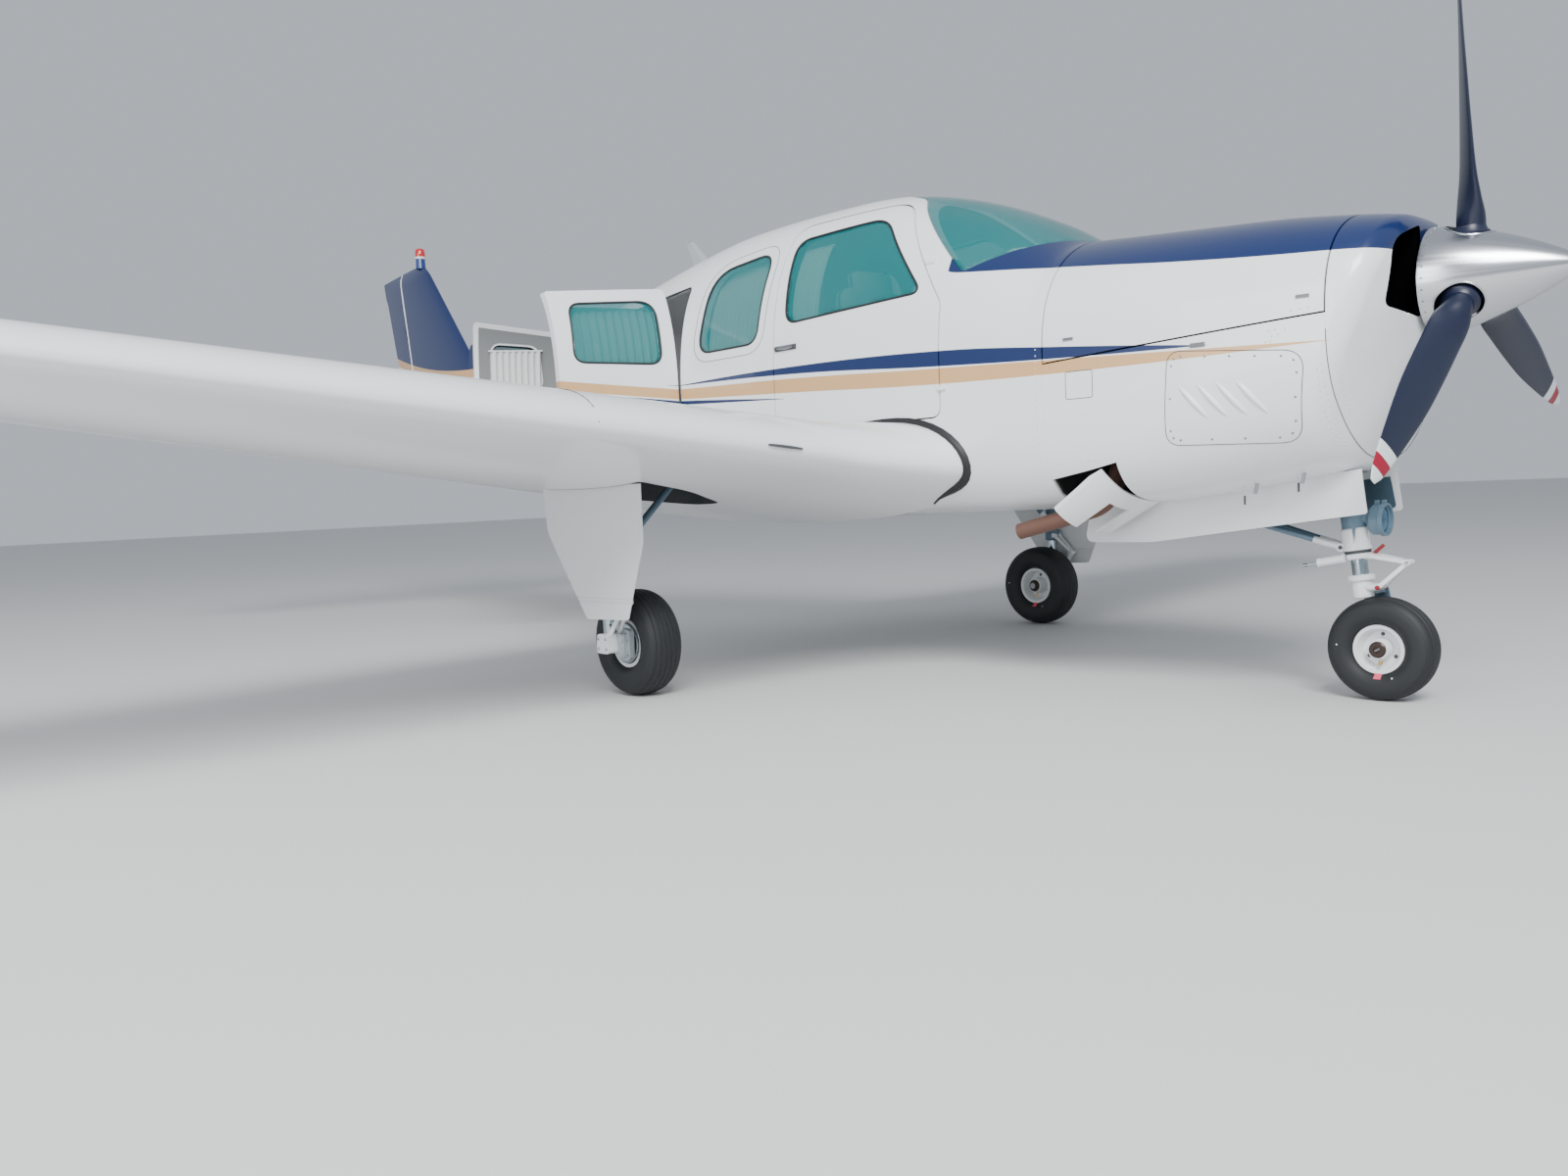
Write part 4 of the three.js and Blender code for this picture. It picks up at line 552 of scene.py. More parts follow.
spans = np.r_[-TAIL[:0:-1, 0], TAIL[:, 0]]
rings = []
for y in np.unique(np.r_[spans, np.linspace(-1.8, 1.8, 41)]):
    leading, chord, thickness = (np.interp(abs(y), TAIL[:, 0], TAIL[:, k]) for k in (1, 2, 3))
    x, z = foil_ring(chord, thickness, 0, 0)
    rings.append(np.stack([x + leading, np.full(len(x), y), z + TAIL_Z], -1))
tailplane = new_piece("tailplane_skin", rings, tube_faces(len(rings), len(rings[0])), skin_paint)
elevators = rod("elevators_skin", (ELEVATOR_HINGE, -0.185, TAIL_Z), (ELEVATOR_HINGE, 0.185, TAIL_Z), 0.016,
                20, skin_paint, "elevators")
for side in (-1, 1):
    inner, outer = (ELEVATOR_HINGE, side * ELEVATOR_Y, TAIL_Z), (ELEVATOR_HINGE, side * 1.854, TAIL_Z)
    elevator = hinged_surface(tailplane, "elevator", inner, outer, 0.034, 0.026, (0, 0, 1), "elevators")
    carve(elevators, elevator, "UNION")
carve(tailplane, block("cutter", (-5, -0.171, 1), (ELEVATOR_HINGE + 0.04, 0.171, 2), skin_paint))
for piece, node in ((tailplane, "tailplane"), (elevators, "elevators")):
    shade(piece.data)
    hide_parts(node)

# Fin and rudder: aluminium skins over ribs, bolted to the tail cone, with a fillet ahead of the fin. They are
# painted blue above a gold band that sweeps up to the rear, and white below it.
FIN = np.array([[1.20, -2.180, -3.812, 0.05], [1.70, -2.608, -3.905, 0.075], [2.58, -3.344, -4.118, 0.085],
                [2.63, -3.40, -4.128, 0.07], [2.66, -3.47, -4.131, 0.035]])
RUDDER_HINGE = ((-3.64, 0, 1.26), (-3.806, 0, 2.70))


def fin_paint():
    """Blue, gold and white by height: the band's edges are straight lines along the fin with a slope that
    grows to the rear."""
    material = finish_of("fin_paint", WHITE, 0.22, coat=0.6)
    tree = material.node_tree
    x, _, z = coordinates(tree)
    back = number(tree, "MULTIPLY", number(tree, "ADD", x, 2.608), -1.0)
    rise = number(tree, "MULTIPLY", number(tree, "POWER", number(tree, "MAXIMUM", back, 0.0), 2.0), 0.115)
    level = number(tree, "SUBTRACT", z, rise)
    coats(tree, WHITE, ((past(tree, level, 1.74), GOLD), (past(tree, level, 1.80), BLUE)))
    return material


fin_colours = fin_paint()
rings = []
for height in np.unique(np.r_[FIN[:, 0], np.linspace(1.25, 2.55, 14)]):
    leading, trailing, thickness = (np.interp(height, FIN[:, 0], FIN[:, k]) for k in (1, 2, 3))
    x, side = foil_ring(leading - trailing, thickness, 0, 0)
    z = height + x * (0.062 if height > 2.5 else 0)
    rings.append(np.stack([x + leading, side, z], -1))
fin = new_piece("fin_skin", rings, tube_faces(len(rings), len(rings[0])), fin_colours)
carve(fin, block("cutter", (-5, -0.2, 1.262), (-2, 0.2, 3), fin_colours), "INTERSECT")
rudder = hinged_surface(fin, "rudder_skin", *RUDDER_HINGE, 0.042, 0.022, (0, 1, 0), "rudder")
carve(fin, block("cutter", (-5, -0.2, 1.0), (-2, 0.2, 1.69), fin_colours))
spine_rows = np.array([[-1.8, 1.78, 1.818, 0.006], [-2.4, 1.74, 1.88, 0.026], [-2.76, 1.7, 1.985, 0.04]])
rings = []
for x in np.linspace(-1.8, -2.76, 24):
    low, high, half = (np.interp(-x, -spine_rows[:, 0], spine_rows[:, k]) for k in (1, 2, 3))
    angle = np.linspace(-np.pi / 2, np.pi / 2, 13)
    arch = np.stack([np.full(13, x), half * np.sin(angle), low + (high - low) * np.cos(angle) ** 0.6], -1)
    rings.append(arch)
dorsal = new_piece("dorsal", rings, tube_faces(24, 13), fin_colours)
carve(fin, dorsal, "UNION")
for piece, node in ((fin, "fin"), (rudder, "rudder")):
    shade(piece.data)
    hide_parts(node)

# Wing: aluminium skins riveted on spars and ribs, with a root glove ahead of the spar and a well for the
# wheel. Flap and aileron have the same section and hang on hinges behind it.
SPAR, LEADING_Z, DIHEDRAL, ROOT_CHORD, TIP_CHORD, HALF_SPAN = 1.474, 0.844, 0.104, 2.134, 1.067, 5.105
WING = np.array([[0.4, 0.165, 3.7], [0.7, 0.163, 3.6], [0.85, 0.161, 3.5], [1.05, 0.159, 3.4],
                 [2.7, 0.143, 2.4], [4.7, 0.124, 1.2], [5.105, 0.121, 1.0]])


def wing_rows(y):
    """Chord, glove, thickness, incidence and tip scale at a distance y from the middle."""
    chord = ROOT_CHORD - (ROOT_CHORD - TIP_CHORD) * y / HALF_SPAN
    glove = 0.2 * np.clip((1.05 - y) / 0.55, 0, 1.2) ** 1.7
    thickness, degrees = (np.interp(y, WING[:, 0], WING[:, k]) for k in (1, 2))
    tip = np.clip((y - 4.86) / (HALF_SPAN - 4.86), 0, 1)
    return chord, glove, thickness * np.sqrt(1 - 0.9 * tip**3), degrees, 1 - 0.26 * tip**2.5


def wing_point(y, share, side, upper=None):
    """Point of the wing at a distance out and a share of the chord, on its mean line, top or underside, and
    half its thickness there."""
    chord, _, thickness, degrees, _ = wing_rows(y)
    half, line = foil(np.asarray(share, float), thickness, 1)
    up = (line + (0 if upper is None else half if upper else -half)) * chord
    tilt = np.radians(degrees)
    x = SPAR + 0.25 * chord - share * chord * np.cos(tilt)
    return np.array([x, side * y, LEADING_Z + DIHEDRAL * y + up - share * chord * np.sin(tilt)]), half * chord


def wing_ring(y, side):
    """Section of the wing at a distance y from the middle."""
    chord, glove, thickness, degrees, scale = wing_rows(y)
    leading = SPAR + 0.25 * chord + glove - (1 - scale) * chord * 0.35
    x, z = foil_ring((chord + glove) * scale, thickness, 1, degrees)
    return np.stack([x + leading, np.full(len(x), side * y),
                     z + LEADING_Z + DIHEDRAL * y + (1 - scale) * 0.06], -1)


def wing_body(name, side):
    """Closed wing from inside the fuselage to the tip."""
    places = np.r_[np.linspace(0.4, 1.1, 15), np.linspace(1.2, 4.8, 30), np.linspace(4.86, HALF_SPAN, 14)]
    rings = [wing_ring(y, side) for y in places]
    return new_piece(name, rings, tube_faces(len(rings), len(rings[0])), skin_white)


SIDES = (("left", 1), ("right", -1))
skin_white = finish_of("wing_white", WHITE, 0.32, coat=0.5)
# The walls and roof of each wheel well are dark grey, much darker than the skin.
well_dark_grey = finish_of("well_dark_grey", (0.05, 0.055, 0.06), 0.7)
WELL = [(1.44, 1.62, 0.03), (0.73, 1.62, 0.06), (0.79, 1.29, 0.09), (1.0, 1.01, 0.06), (1.18, 1.01, 0.06),
        (1.38, 1.33, 0.09)]
stations = np.linspace(-0.5, FIREWALL, 60)
hull_body = new_piece("hull_body", [hull_ring(x, -0.0003) for x in stations], tube_faces(60, 144), skin_white)
for place, side in SIDES:
    wing = wing_body(f"wing_{place}_skin", side)
    carve(wing, copy_of(hull_body, "cutter"))
    (a, half_a), (b, half_b) = (wing_point(y, 0.78, side) for y in (2.734, 4.72))
    aileron = hinged_surface(wing, f"aileron_{place}_skin", a, b, half_a, half_b, (0, 0, 1),
                             f"aileron_{place}")
    a, b = (wing_point(y, 0.76, side, False)[0] for y in (0.645, 2.676))

    def aft(ahead, wider):
        """Solid behind the flap's leading edge, moved ahead and made wider by two distances."""
        plan = np.array([[a[0] + ahead, a[1] - side * wider], [b[0] + ahead, b[1] + side * wider],
                         [-0.4, b[1] + side * wider], [-0.4, a[1] - side * wider]])
        return prism("cutter", plan, 0.5, 1.5, "z", skin_white)

    flap = copy_of(wing, f"flap_{place}_skin")
    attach(flap, f"flap_{place}")
    carve(flap, aft(0, 0), "INTERSECT")
    carve(wing, aft(0.008, 0.02))
    well = rounded([(x, side * y, r) for x, y, r in WELL])
    carve(wing, prism("cutter", well, 0.5, 1.02, "z", well_dark_grey))
    for piece, node in ((wing, f"wing_{place}"), (aileron, f"aileron_{place}"), (flap, f"flap_{place}")):
        shade(piece.data, 30)
        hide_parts(node)
bpy.data.objects.remove(hull_body)

# Cowl: aluminium skins over formers, with a moulded bowl in front that leans back to a closed chin. Two
# doors hinge on the fixed spine; the lower half has the nose wheel's bay and two flaps for the cooling air.
HUB_Z, BOWL_FRONT, COWL_FRONT, NOSE_START, NOSE_EDGE, COWL_SKIN = 1.406, 3.69, 3.54, 3.2, 0.04, 0.008
SPINE_HALF, SEAM, BAY_HALF, BAY_FRONT = 0.058, 0.006, 0.15, 3.474
INLET = [(0.108, 1.287, 0.02), (0.318, 1.316, 0.03), (0.312, 1.52, 0.07), (0.20, 1.558, 0.03),
         (0.108, 1.583, 0.02)]
FLAP_HINGE = (2.8, 0, 0.718)
# Painted shade: a black without gloss for the dark inside the inlets, round the hole for the shaft and in the
# exhaust bores.
painted_shade_black = finish_of("painted_shade_black", (0.0015, 0.0015, 0.002), 1.0)
painted_shade_black.node_tree.nodes["Principled BSDF"].inputs["Specular IOR Level"].default_value = 0


def nose_depth(p):
    """How deep a point lies in the nose: its depths behind the skin and behind the front, with the edge
    between them rounded by a quarter circle. The front leans back with a power of the drop and is bowed."""
    drop = np.maximum(1.45 - p[..., 2], 0)
    front = 3.705 - 0.446 * drop**2.08
    fall = 0.045 + 0.047 * np.sin(np.pi / 2 * np.minimum(drop / 0.45, 1))
    ahead = np.minimum(BOWL_FRONT, front - fall * (p[..., 1] / 0.4) ** 2) - p[..., 0]
    side = skin_depth(p)
    return NOSE_EDGE - np.hypot(np.maximum(NOSE_EDGE - side, 0), np.maximum(NOSE_EDGE - ahead, 0))


def cast(start, rays, depth):
    """Where rays from a point inside a body leave it, found by halving the distance thirty times."""
    near, far = np.zeros(len(rays)), np.full(len(rays), 1.5)
    for _ in range(30):
        middle = (near + far) / 2
        inside = depth(start + middle[:, None] * rays) > 0
        near, far = np.where(inside, middle, near), np.where(inside, far, middle)
    return start + near[:, None] * rays


stations = np.r_[FIREWALL + 0.0003, np.linspace(2.56, NOSE_START, 24)]
rows = [hull_ring(x, count=240) for x in stations]
centre = np.array([NOSE_START, 0, HUB_Z])
across = (rows[-1] - centre) / np.linalg.norm(rows[-1] - centre, axis=1, keepdims=True)
for angle in np.radians(np.linspace(1, 86, 110)):
    rows.append(cast(centre, np.cos(angle) * across + [[np.sin(angle), 0, 0]], nose_depth))
rows = np.array(rows)
out_of_nose = outward(rows, nose_depth)
sheet = np.concatenate([rows, (rows - COWL_SKIN * out_of_nose)[::-1]])
cowl = new_piece("cowl", sheet, tube_faces(len(sheet), 240, looped=True), skin_paint)
nose_room = new_piece("nose_room", rows - 0.004 * out_of_nose, tube_faces(len(rows), 240), skin_paint)


def between(side, near, far):
    """Two distances from the middle on one side of it, as low and high."""
    return sorted((side * near, side * far))


def below_sill(raised):
    """Solid under the lower edge of the cowl doors."""
    line = [(FIREWALL - 0.09, 0.6), (COWL_FRONT + 0.09, 0.6), (COWL_FRONT + 0.09, 1.305 + raised),
            (FIREWALL - 0.09, 1.236 + raised)]
    return prism("cutter", np.array(line), -0.7, 0.7, "y", skin_paint)


bowl = copy_of(cowl, "nose_bowl_skin")
kept = block("kept", (COWL_FRONT, -0.7, 0.6), (3.8, 0.7, 1.8), skin_paint)
carve(kept, block("spine", (FIREWALL + 0.0083, -SPINE_HALF, 1.5), (3.55, SPINE_HALF, 1.8), skin_paint),
      "UNION")
carve(bowl, kept, "INTERSECT")
carve(bowl, rod("hole", (3.5, 0, HUB_Z), (3.8, 0, HUB_Z), 0.12, 48, painted_shade_black))
for side in (-1, 1):
    line = rounded([(side * y, z, r) for y, z, r in INLET])
    carve(bowl, prism("cutter", line, 3.56, 3.8, "x", painted_shade_black))
    outer = rounded([(side * y, z, r) for y, z, r in INLET], 0.006)
    # Behind each inlet a black box is painted shade, hiding the cowl's white inside.
    shade_box = prism(f"inlet_painted_shade_{side}", outer, 3.505, 3.70, "x", painted_shade_black)
    carve(shade_box, prism("cutter", line, 3.512, 3.8, "x", painted_shade_black))
    carve(shade_box, copy_of(nose_room, "cutter"), "INTERSECT")
follow_skin(bowl, nose_depth)
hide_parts("nose_bowl")

lower = copy_of(cowl, "cowl_lower_skin")
carve(lower, below_sill(0), "INTERSECT")
carve(lower, block("cutter", (3.5397, -0.7, 0.6), (3.8, 0.7, 1.8), skin_paint))
carve(lower, block("cutter", (2.4, -BAY_HALF, 0.6), (BAY_FRONT, BAY_HALF, 1.0), skin_paint))
for side in (-1, 1):
    near, far = between(side, 0.194, 0.506)
    carve(lower, block("cutter", (2.509, near, 0.6), (2.806, far, 0.9), skin_paint))
    near, far = between(side, BAY_HALF, BAY_HALF + 0.012)
    wall = block(f"bay_wall_{side}", (2.7, near, 0.7), (BAY_FRONT, far, 0.96), skin_paint)
    carve(wall, copy_of(nose_room, "cutter"), "INTERSECT")
bay_front = block("bay_front", (BAY_FRONT - 0.008, -BAY_HALF, 0.7), (BAY_FRONT, BAY_HALF, 0.96), skin_paint)
carve(bay_front, copy_of(nose_room, "cutter"), "INTERSECT")
follow_skin(lower, nose_depth)
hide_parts("cowl_lower")

for place, side in SIDES:
    door = copy_of(cowl, f"cowl_door_{place}_skin")
    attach(door, f"cowl_door_{place}")
    near, far = between(side, SPINE_HALF + SEAM, 0.7)
    carve(door, block("cutter", (FIREWALL + SEAM, near, 1.2), (COWL_FRONT - SEAM, far, 1.8), skin_paint),
          "INTERSECT")
    carve(door, below_sill(SEAM))
    follow_skin(door, nose_depth)
    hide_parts(f"cowl_door_{place}")
    flap = copy_of(cowl, f"cowl_flap_{place}_skin")
    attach(flap, f"cowl_flap_{place}")
    near, far = between(side, 0.2, 0.5)
    carve(flap, block("cutter", (2.555, near, 0.6), (2.8, far, 0.86), skin_paint), "INTERSECT")
    near, far = between(side, 0.296, 0.41)
    carve(flap, block("cutter", (2.4, near, 0.6), (2.724, far, 0.86), skin_paint))
    follow_skin(flap, nose_depth)
    opened(flap, FLAP_HINGE, -25, "Y")
    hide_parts(f"cowl_flap_{place}")
bpy.data.objects.remove(cowl)

# Fastenings and small parts of the cowl: flush seams, rivets and quarter-turn screws, a louvered panel low on
# each side, a hatch, the door's latches and two drain tubes under the chin.
seam_dark = finish_of("seam_dark", (0.05, 0.055, 0.06), 0.6)
rivet_white = finish_of("rivet_white", (0.66, 0.68, 0.69), 0.35)
screw_steel = finish_of("screw_steel", (0.35, 0.36, 0.38), 0.35, 1.0)


def studs(name, places, up, radius, height, material, body="airframe"):
    """Low round heads on a surface, each with eight corners on its seat and eight closer ones on top."""
    places = np.asarray(places, float).reshape(-1, 3)
    up = np.broadcast_to(up, places.shape)
    guide = np.where(np.abs(up[:, 2:]) < 0.9, [[0.0, 0.0, 1.0]], [[1.0, 0.0, 0.0]])
    first = np.cross(up, guide)
    first /= np.linalg.norm(first, axis=1, keepdims=True)
    second = np.cross(up, first)
    angle = (np.pi / 4 * np.arange(8))[None, :, None]
    ring = np.cos(angle) * first[:, None] + np.sin(angle) * second[:, None]
    low = places[:, None] + radius * ring - 0.001 * up[:, None]
    high = places[:, None] + 0.55 * radius * ring + height * up[:, None]
    points = np.concatenate([low, high], 1)
    faces = [np.array(face) + 16 * i for i in range(len(places)) for face in tube_faces(2, 8)]
    return new_piece(name, points, faces, material, sharp=60, body=body)


def on_nose(x, angles, out=0.0):
    """Points on the nose's skin at station x in directions round it, in degrees from straight up towards the
    left wing, moved out along the normal."""
    turn = np.radians(np.asarray(angles, float))
    rays = np.stack([np.zeros(len(turn)), np.sin(turn), np.cos(turn)], -1)
    p = cast(np.array([x, 0.0, 1.2]), rays, nose_depth)
    return p + out * outward(p, nose_depth)


CORNER_RIVETS = np.array([
    (3.44, 1.318), (3.465, 1.32), (3.49, 1.322), (3.37, 1.262), (3.39, 1.265), (3.38, 1.245), (3.40, 1.248),
    (3.42, 1.262), (3.36, 1.228), (3.375, 1.23)])
LOUVER_PANEL = [(3.005, 0.915, 0.05), (3.44, 0.90, 0.07), (3.48, 1.19, 0.07), (3.03, 1.235, 0.05)]
HATCH = [(2.634, 1.105, 0.01), (2.743, 1.105, 0.01), (2.743, 1.204, 0.01), (2.634, 1.204, 0.01)]
for place, side in SIDES:
    strip(on_nose(3.54, side * np.linspace(84, 172, 80)), 0.0014, seam_dark, f"bowl_seam_{place}")
    for name, line in (("louver_panel", LOUVER_PANEL), ("hatch", HATCH)):
        strip(skin_line(line, side), 0.0013, seam_dark, f"{name}_seam_{place}", closed=True)
    columns = np.concatenate([on_nose(x, side * np.linspace(start, 138, 15))
                              for x, start in ((3.524, 97), (3.512, 99), (3.556, 98))])
    studs(f"seam_rivets_{place}", columns, outward(columns, nose_depth), 0.0032, 0.0016, rivet_white)
    corner = on_side(*CORNER_RIVETS.T, side)
    studs(f"corner_rivets_{place}", corner, outward(corner, nose_depth), 0.004, 0.0018, rivet_white)
    line = divided(rounded(LOUVER_PANEL, -0.018, 3), 0.11)
    screws = on_side(line[:, 0], line[:, 1], side)
    studs(f"panel_screws_{place}", screws, outward(screws, nose_depth), 0.0055, 0.0015, screw_steel)
    frame_line = on_side(2.508, np.linspace(0.86, 1.30, 20), side)
    sill = on_side(np.linspace(2.30, 2.50, 9), np.linspace(0.835, 0.86, 9), side)
    sill = np.concatenate([frame_line, sill,
                           on_side(np.linspace(2.56, 2.82, 12), np.linspace(0.872, 0.885, 12), side)])
    studs(f"firewall_rivets_{place}", sill, outward(sill), 0.0036, 0.0016, rivet_white)
    for k in range(4):
        x = 3.10 + 0.065 * k
        slope = on_side(np.linspace(x - 0.035, x + 0.06, 9), np.linspace(1.115, 1.0, 9), side, -0.004)
        size = 0.011 * np.sin(np.pi * np.linspace(0.04, 0.96, 9)) ** 0.4
        strip(slope, size, skin_paint, f"louver_{place}_{k}", sides=12)
    for name, x, z in (("rear", 2.649, 1.322), ("front", 3.473, 1.359)):
        latch = on_side([x - 0.02, x + 0.02], [z, z], side, 0.001)
        strip(latch, 0.006, screw_steel, f"latch_{name}_{place}")
    for k, (x, z, angle) in enumerate(((3.207, 0.768, 150), (3.373, 0.816, 148))):
        foot = on_nose(x, [side * angle])[0]
        rod(f"drain_{place}_{k}", foot + [0, 0, 0.01], foot - [0.01, 0, 0.035], 0.006, 16, screw_steel)

# Spinner: a spun and polished aluminium shell on a back plate, cut out round each blade and riveted at the
# rear. It turns with the propeller.
SPINNER_REAR, SPINNER_R, SPINNER_TIP, PROP_X, CUT_R = 3.702, 0.178, 4.131, 3.809, 0.070
BLADE_ANGLES = (-8.2, 111.8, 231.8)   # from straight up, towards the left wing


def turned(name, profile, origin, axis, material, sides=72, body="airframe", sharp=35):
    """Surface of revolution: pairs of radius and distance carried round an axis. A profile that ends where it
    starts makes a ring; any other has flat ends."""
    profile, axis = np.asarray(profile, float), np.asarray(axis, float) / np.linalg.norm(axis)
    looped = np.allclose(profile[0], profile[-1])
    profile = profile[:-1] if looped else profile
    first = np.cross(axis, np.eye(3)[np.argmin(np.abs(axis))])
    first /= np.linalg.norm(first)
    second = np.cross(axis, first)
    angle = 2 * np.pi * np.arange(sides)[:, None] / sides
    circle = np.cos(angle) * first + np.sin(angle) * second
    points = np.asarray(origin) + profile[:, 1, None, None] * axis + profile[:, 0, None, None] * circle
    return new_piece(name, points, tube_faces(len(profile), sides, looped), material, sharp, body)


def spinner_radius(x):
    """Radius of the spinner's skin at station x, from powers of the share of its length."""
    share = np.clip((x - SPINNER_REAR) / (SPINNER_TIP - SPINNER_REAR), 0, 1)
    return SPINNER_R * (1 - share**1.4) ** 0.85


def brushed_metal():
    """Polished aluminium whose roughness varies only round the axis, as spun and wiped metal does."""
    material = finish_of("brushed_metal", (0.60, 0.62, 0.65), 0.2, 1.0)
    tree = material.node_tree
    x, y, z = coordinates(tree)
    turn = number(tree, "ARCTAN2", number(tree, "SUBTRACT", z, HUB_Z), y)
    joined = tree.nodes.new("ShaderNodeCombineXYZ")
    tree.links.new(number(tree, "MULTIPLY", turn, 4.0), joined.inputs[0])
    tree.links.new(number(tree, "MULTIPLY", x, 0.6), joined.inputs[1])
    noise = tree.nodes.new("ShaderNodeTexNoise")
    noise.inputs["Scale"].default_value = 2.2
    noise.inputs["Detail"].default_value = 5
    tree.links.new(joined.outputs[0], noise.inputs["Vector"])
    rough = number(tree, "ADD", number(tree, "MULTIPLY", noise.outputs["Fac"], 0.34), 0.06)
    tree.links.new(rough, tree.nodes["Principled BSDF"].inputs["Roughness"])
    return material


polished = brushed_metal()
x = SPINNER_REAR + (SPINNER_TIP - SPINNER_REAR) * np.r_[np.linspace(0, 0.9, 40), np.linspace(0.915, 0.998, 9)]
outer_line = np.stack([spinner_radius(x), x], -1)
inner_line = np.stack([spinner_radius(x[:-6]) - 0.004, x[:-6]], -1)[::-1]
profile = np.concatenate([outer_line, inner_line, outer_line[:1]])
spinner = turned("spinner_skin", profile, (0, 0, HUB_Z), (1, 0, 0), polished, 120, "propeller")


def on_blade(degrees):
    """Turn that carries a blade from straight up to its place on the hub."""
    return Matrix.Translation((PROP_X, 0, HUB_Z)) @ Matrix.Rotation(math.radians(-degrees), 4, "X")


for k, degrees in enumerate(BLADE_ANGLES):
    hole = rod("hole", (0, 0, 0.08), (0, 0, 0.23), CUT_R, 48, polished)
    hole.data.transform(on_blade(degrees))
    carve(spinner, hole)
    turn = 2 * np.pi * np.arange(64) / 64
    ahead, beside = CUT_R * np.cos(turn), CUT_R * np.sin(turn)
    rise = np.sqrt(spinner_radius(PROP_X + ahead) ** 2 - beside**2)
    lip = strip(np.stack([ahead, beside, rise], -1), 0.003, polished, f"cut_out_lip_{k}", closed=True,
                body="propeller")
    lip.data.transform(on_blade(degrees))
shade(spinner.data)
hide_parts("spinner")
plate = [(0.060, 0.001), (0.174, 0.001), (0.174, 0.009), (0.060, 0.009), (0.060, 0.001)]
turned("spinner_plate", plate, (SPINNER_REAR, 0, HUB_Z), (1, 0, 0), screw_steel, 96, "propeller")
turn = np.radians(np.arange(0, 360, 12) + 5)
facing = np.stack([np.full(30, 0.12), np.sin(turn), np.cos(turn)], -1)
rivet_circle = spinner_radius(SPINNER_REAR + 0.014)
rivets = facing * [0, rivet_circle, rivet_circle] + [SPINNER_REAR + 0.014, 0, HUB_Z]
studs("spinner_rivets", rivets, facing, 0.0042, 0.0022, screw_steel, "propeller")

# Propeller: three forged aluminium blades, painted near black with banded tips. Each is clamped by its round
# root in a hub on the engine's shaft.
BLADE = np.array([   # radius, chord, thickness, pitch in degrees
    [0.095, 0.084, 0.084, 70], [0.190, 0.096, 0.078, 52], [0.245, 0.118, 0.050, 44],
    [0.330, 0.128, 0.034, 34], [0.480, 0.134, 0.024, 28], [0.640, 0.130, 0.018, 24],
    [0.800, 0.104, 0.013, 20], [0.930, 0.072, 0.010, 18], [0.990, 0.050, 0.007, 18],
    [1.030, 0.020, 0.004, 18]])
BLADE_BLACK, TIP_WHITE, TIP_RED = (0.006, 0.010, 0.030), (0.62, 0.66, 0.68), (0.26, 0.004, 0.022)


def blade_paint():
    """Near black, with bands by the distance from the shaft: white, red and white again at the tip."""
    material = finish_of("blade_paint", BLADE_BLACK, 0.32)
    tree = material.node_tree
    _, y, z = coordinates(tree)
    rise = number(tree, "POWER", number(tree, "SUBTRACT", z, HUB_Z), 2.0)
    reach = number(tree, "SQRT", number(tree, "ADD", rise, number(tree, "POWER", y, 2.0)))
    bands = ((0.885, TIP_WHITE), (0.935, TIP_RED), (0.985, TIP_WHITE))
    coats(tree, BLADE_BLACK, [(number(tree, "GREATER_THAN", reach, start), paint) for start, paint in bands])
    return material


blade_colours = blade_paint()
blade_plain = finish_of("blade_plain", BLADE_BLACK, 0.4)
radius = np.r_[np.linspace(0.095, 0.95, 70), np.linspace(0.96, 1.03, 14)]
chord, thick, pitch = np.moveaxis(smooth(BLADE, radius), -1, 0)
turn = np.radians(90 - pitch)[:, None]
angle = 2 * np.pi * (np.arange(36) + 0.5) / 36
u = chord[:, None] / 2 * np.cos(angle)
v = thick[:, None] / 2 * np.sin(angle) * np.where(np.sin(angle) > 0, 0.8, 1.15)
points = np.stack([u * np.cos(turn) - v * np.sin(turn), -u * np.sin(turn) - v * np.cos(turn),
                   radius[:, None] * np.ones(36)], -1)
ROOT = [(0.046, 0.09), (0.050, 0.118), (0.058, 0.126), (0.058, 0.14), (0.050, 0.147), (0.044, 0.165)]
for k, degrees in enumerate(BLADE_ANGLES):
    blade = new_piece(f"blade_{k}", points, tube_faces(84, 36), blade_colours, body="propeller")
    blade.data.transform(on_blade(degrees))
    root = turned(f"blade_root_{k}", ROOT, (0, 0, 0), (0, 0, 1), blade_plain, 40, "propeller")
    root.data.transform(on_blade(degrees))
hub = turned("propeller_hub", [(0.085, -0.096), (0.098, -0.084), (0.098, 0.05), (0.06, 0.075)],
             (PROP_X, 0, HUB_Z), (1, 0, 0), blade_plain, 48, "propeller")
rod("propeller_shaft", (3.5703, 0, HUB_Z), (3.719, 0, HUB_Z), 0.055, 40, screw_steel, "propeller")
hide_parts("propeller")

# Engine: a plain block bolted to the firewall behind the inlets. Two rusty steel exhaust pipes leave below,
# past the cowl flaps.
engine_iron = finish_of("engine_iron", (0.012, 0.012, 0.013), 0.7)


def finish_node(node, material):
    """Gives a solid of the frame a finish and leaves its shape alone."""
    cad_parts[node].data.materials.clear()
    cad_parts[node].data.materials.append(material)


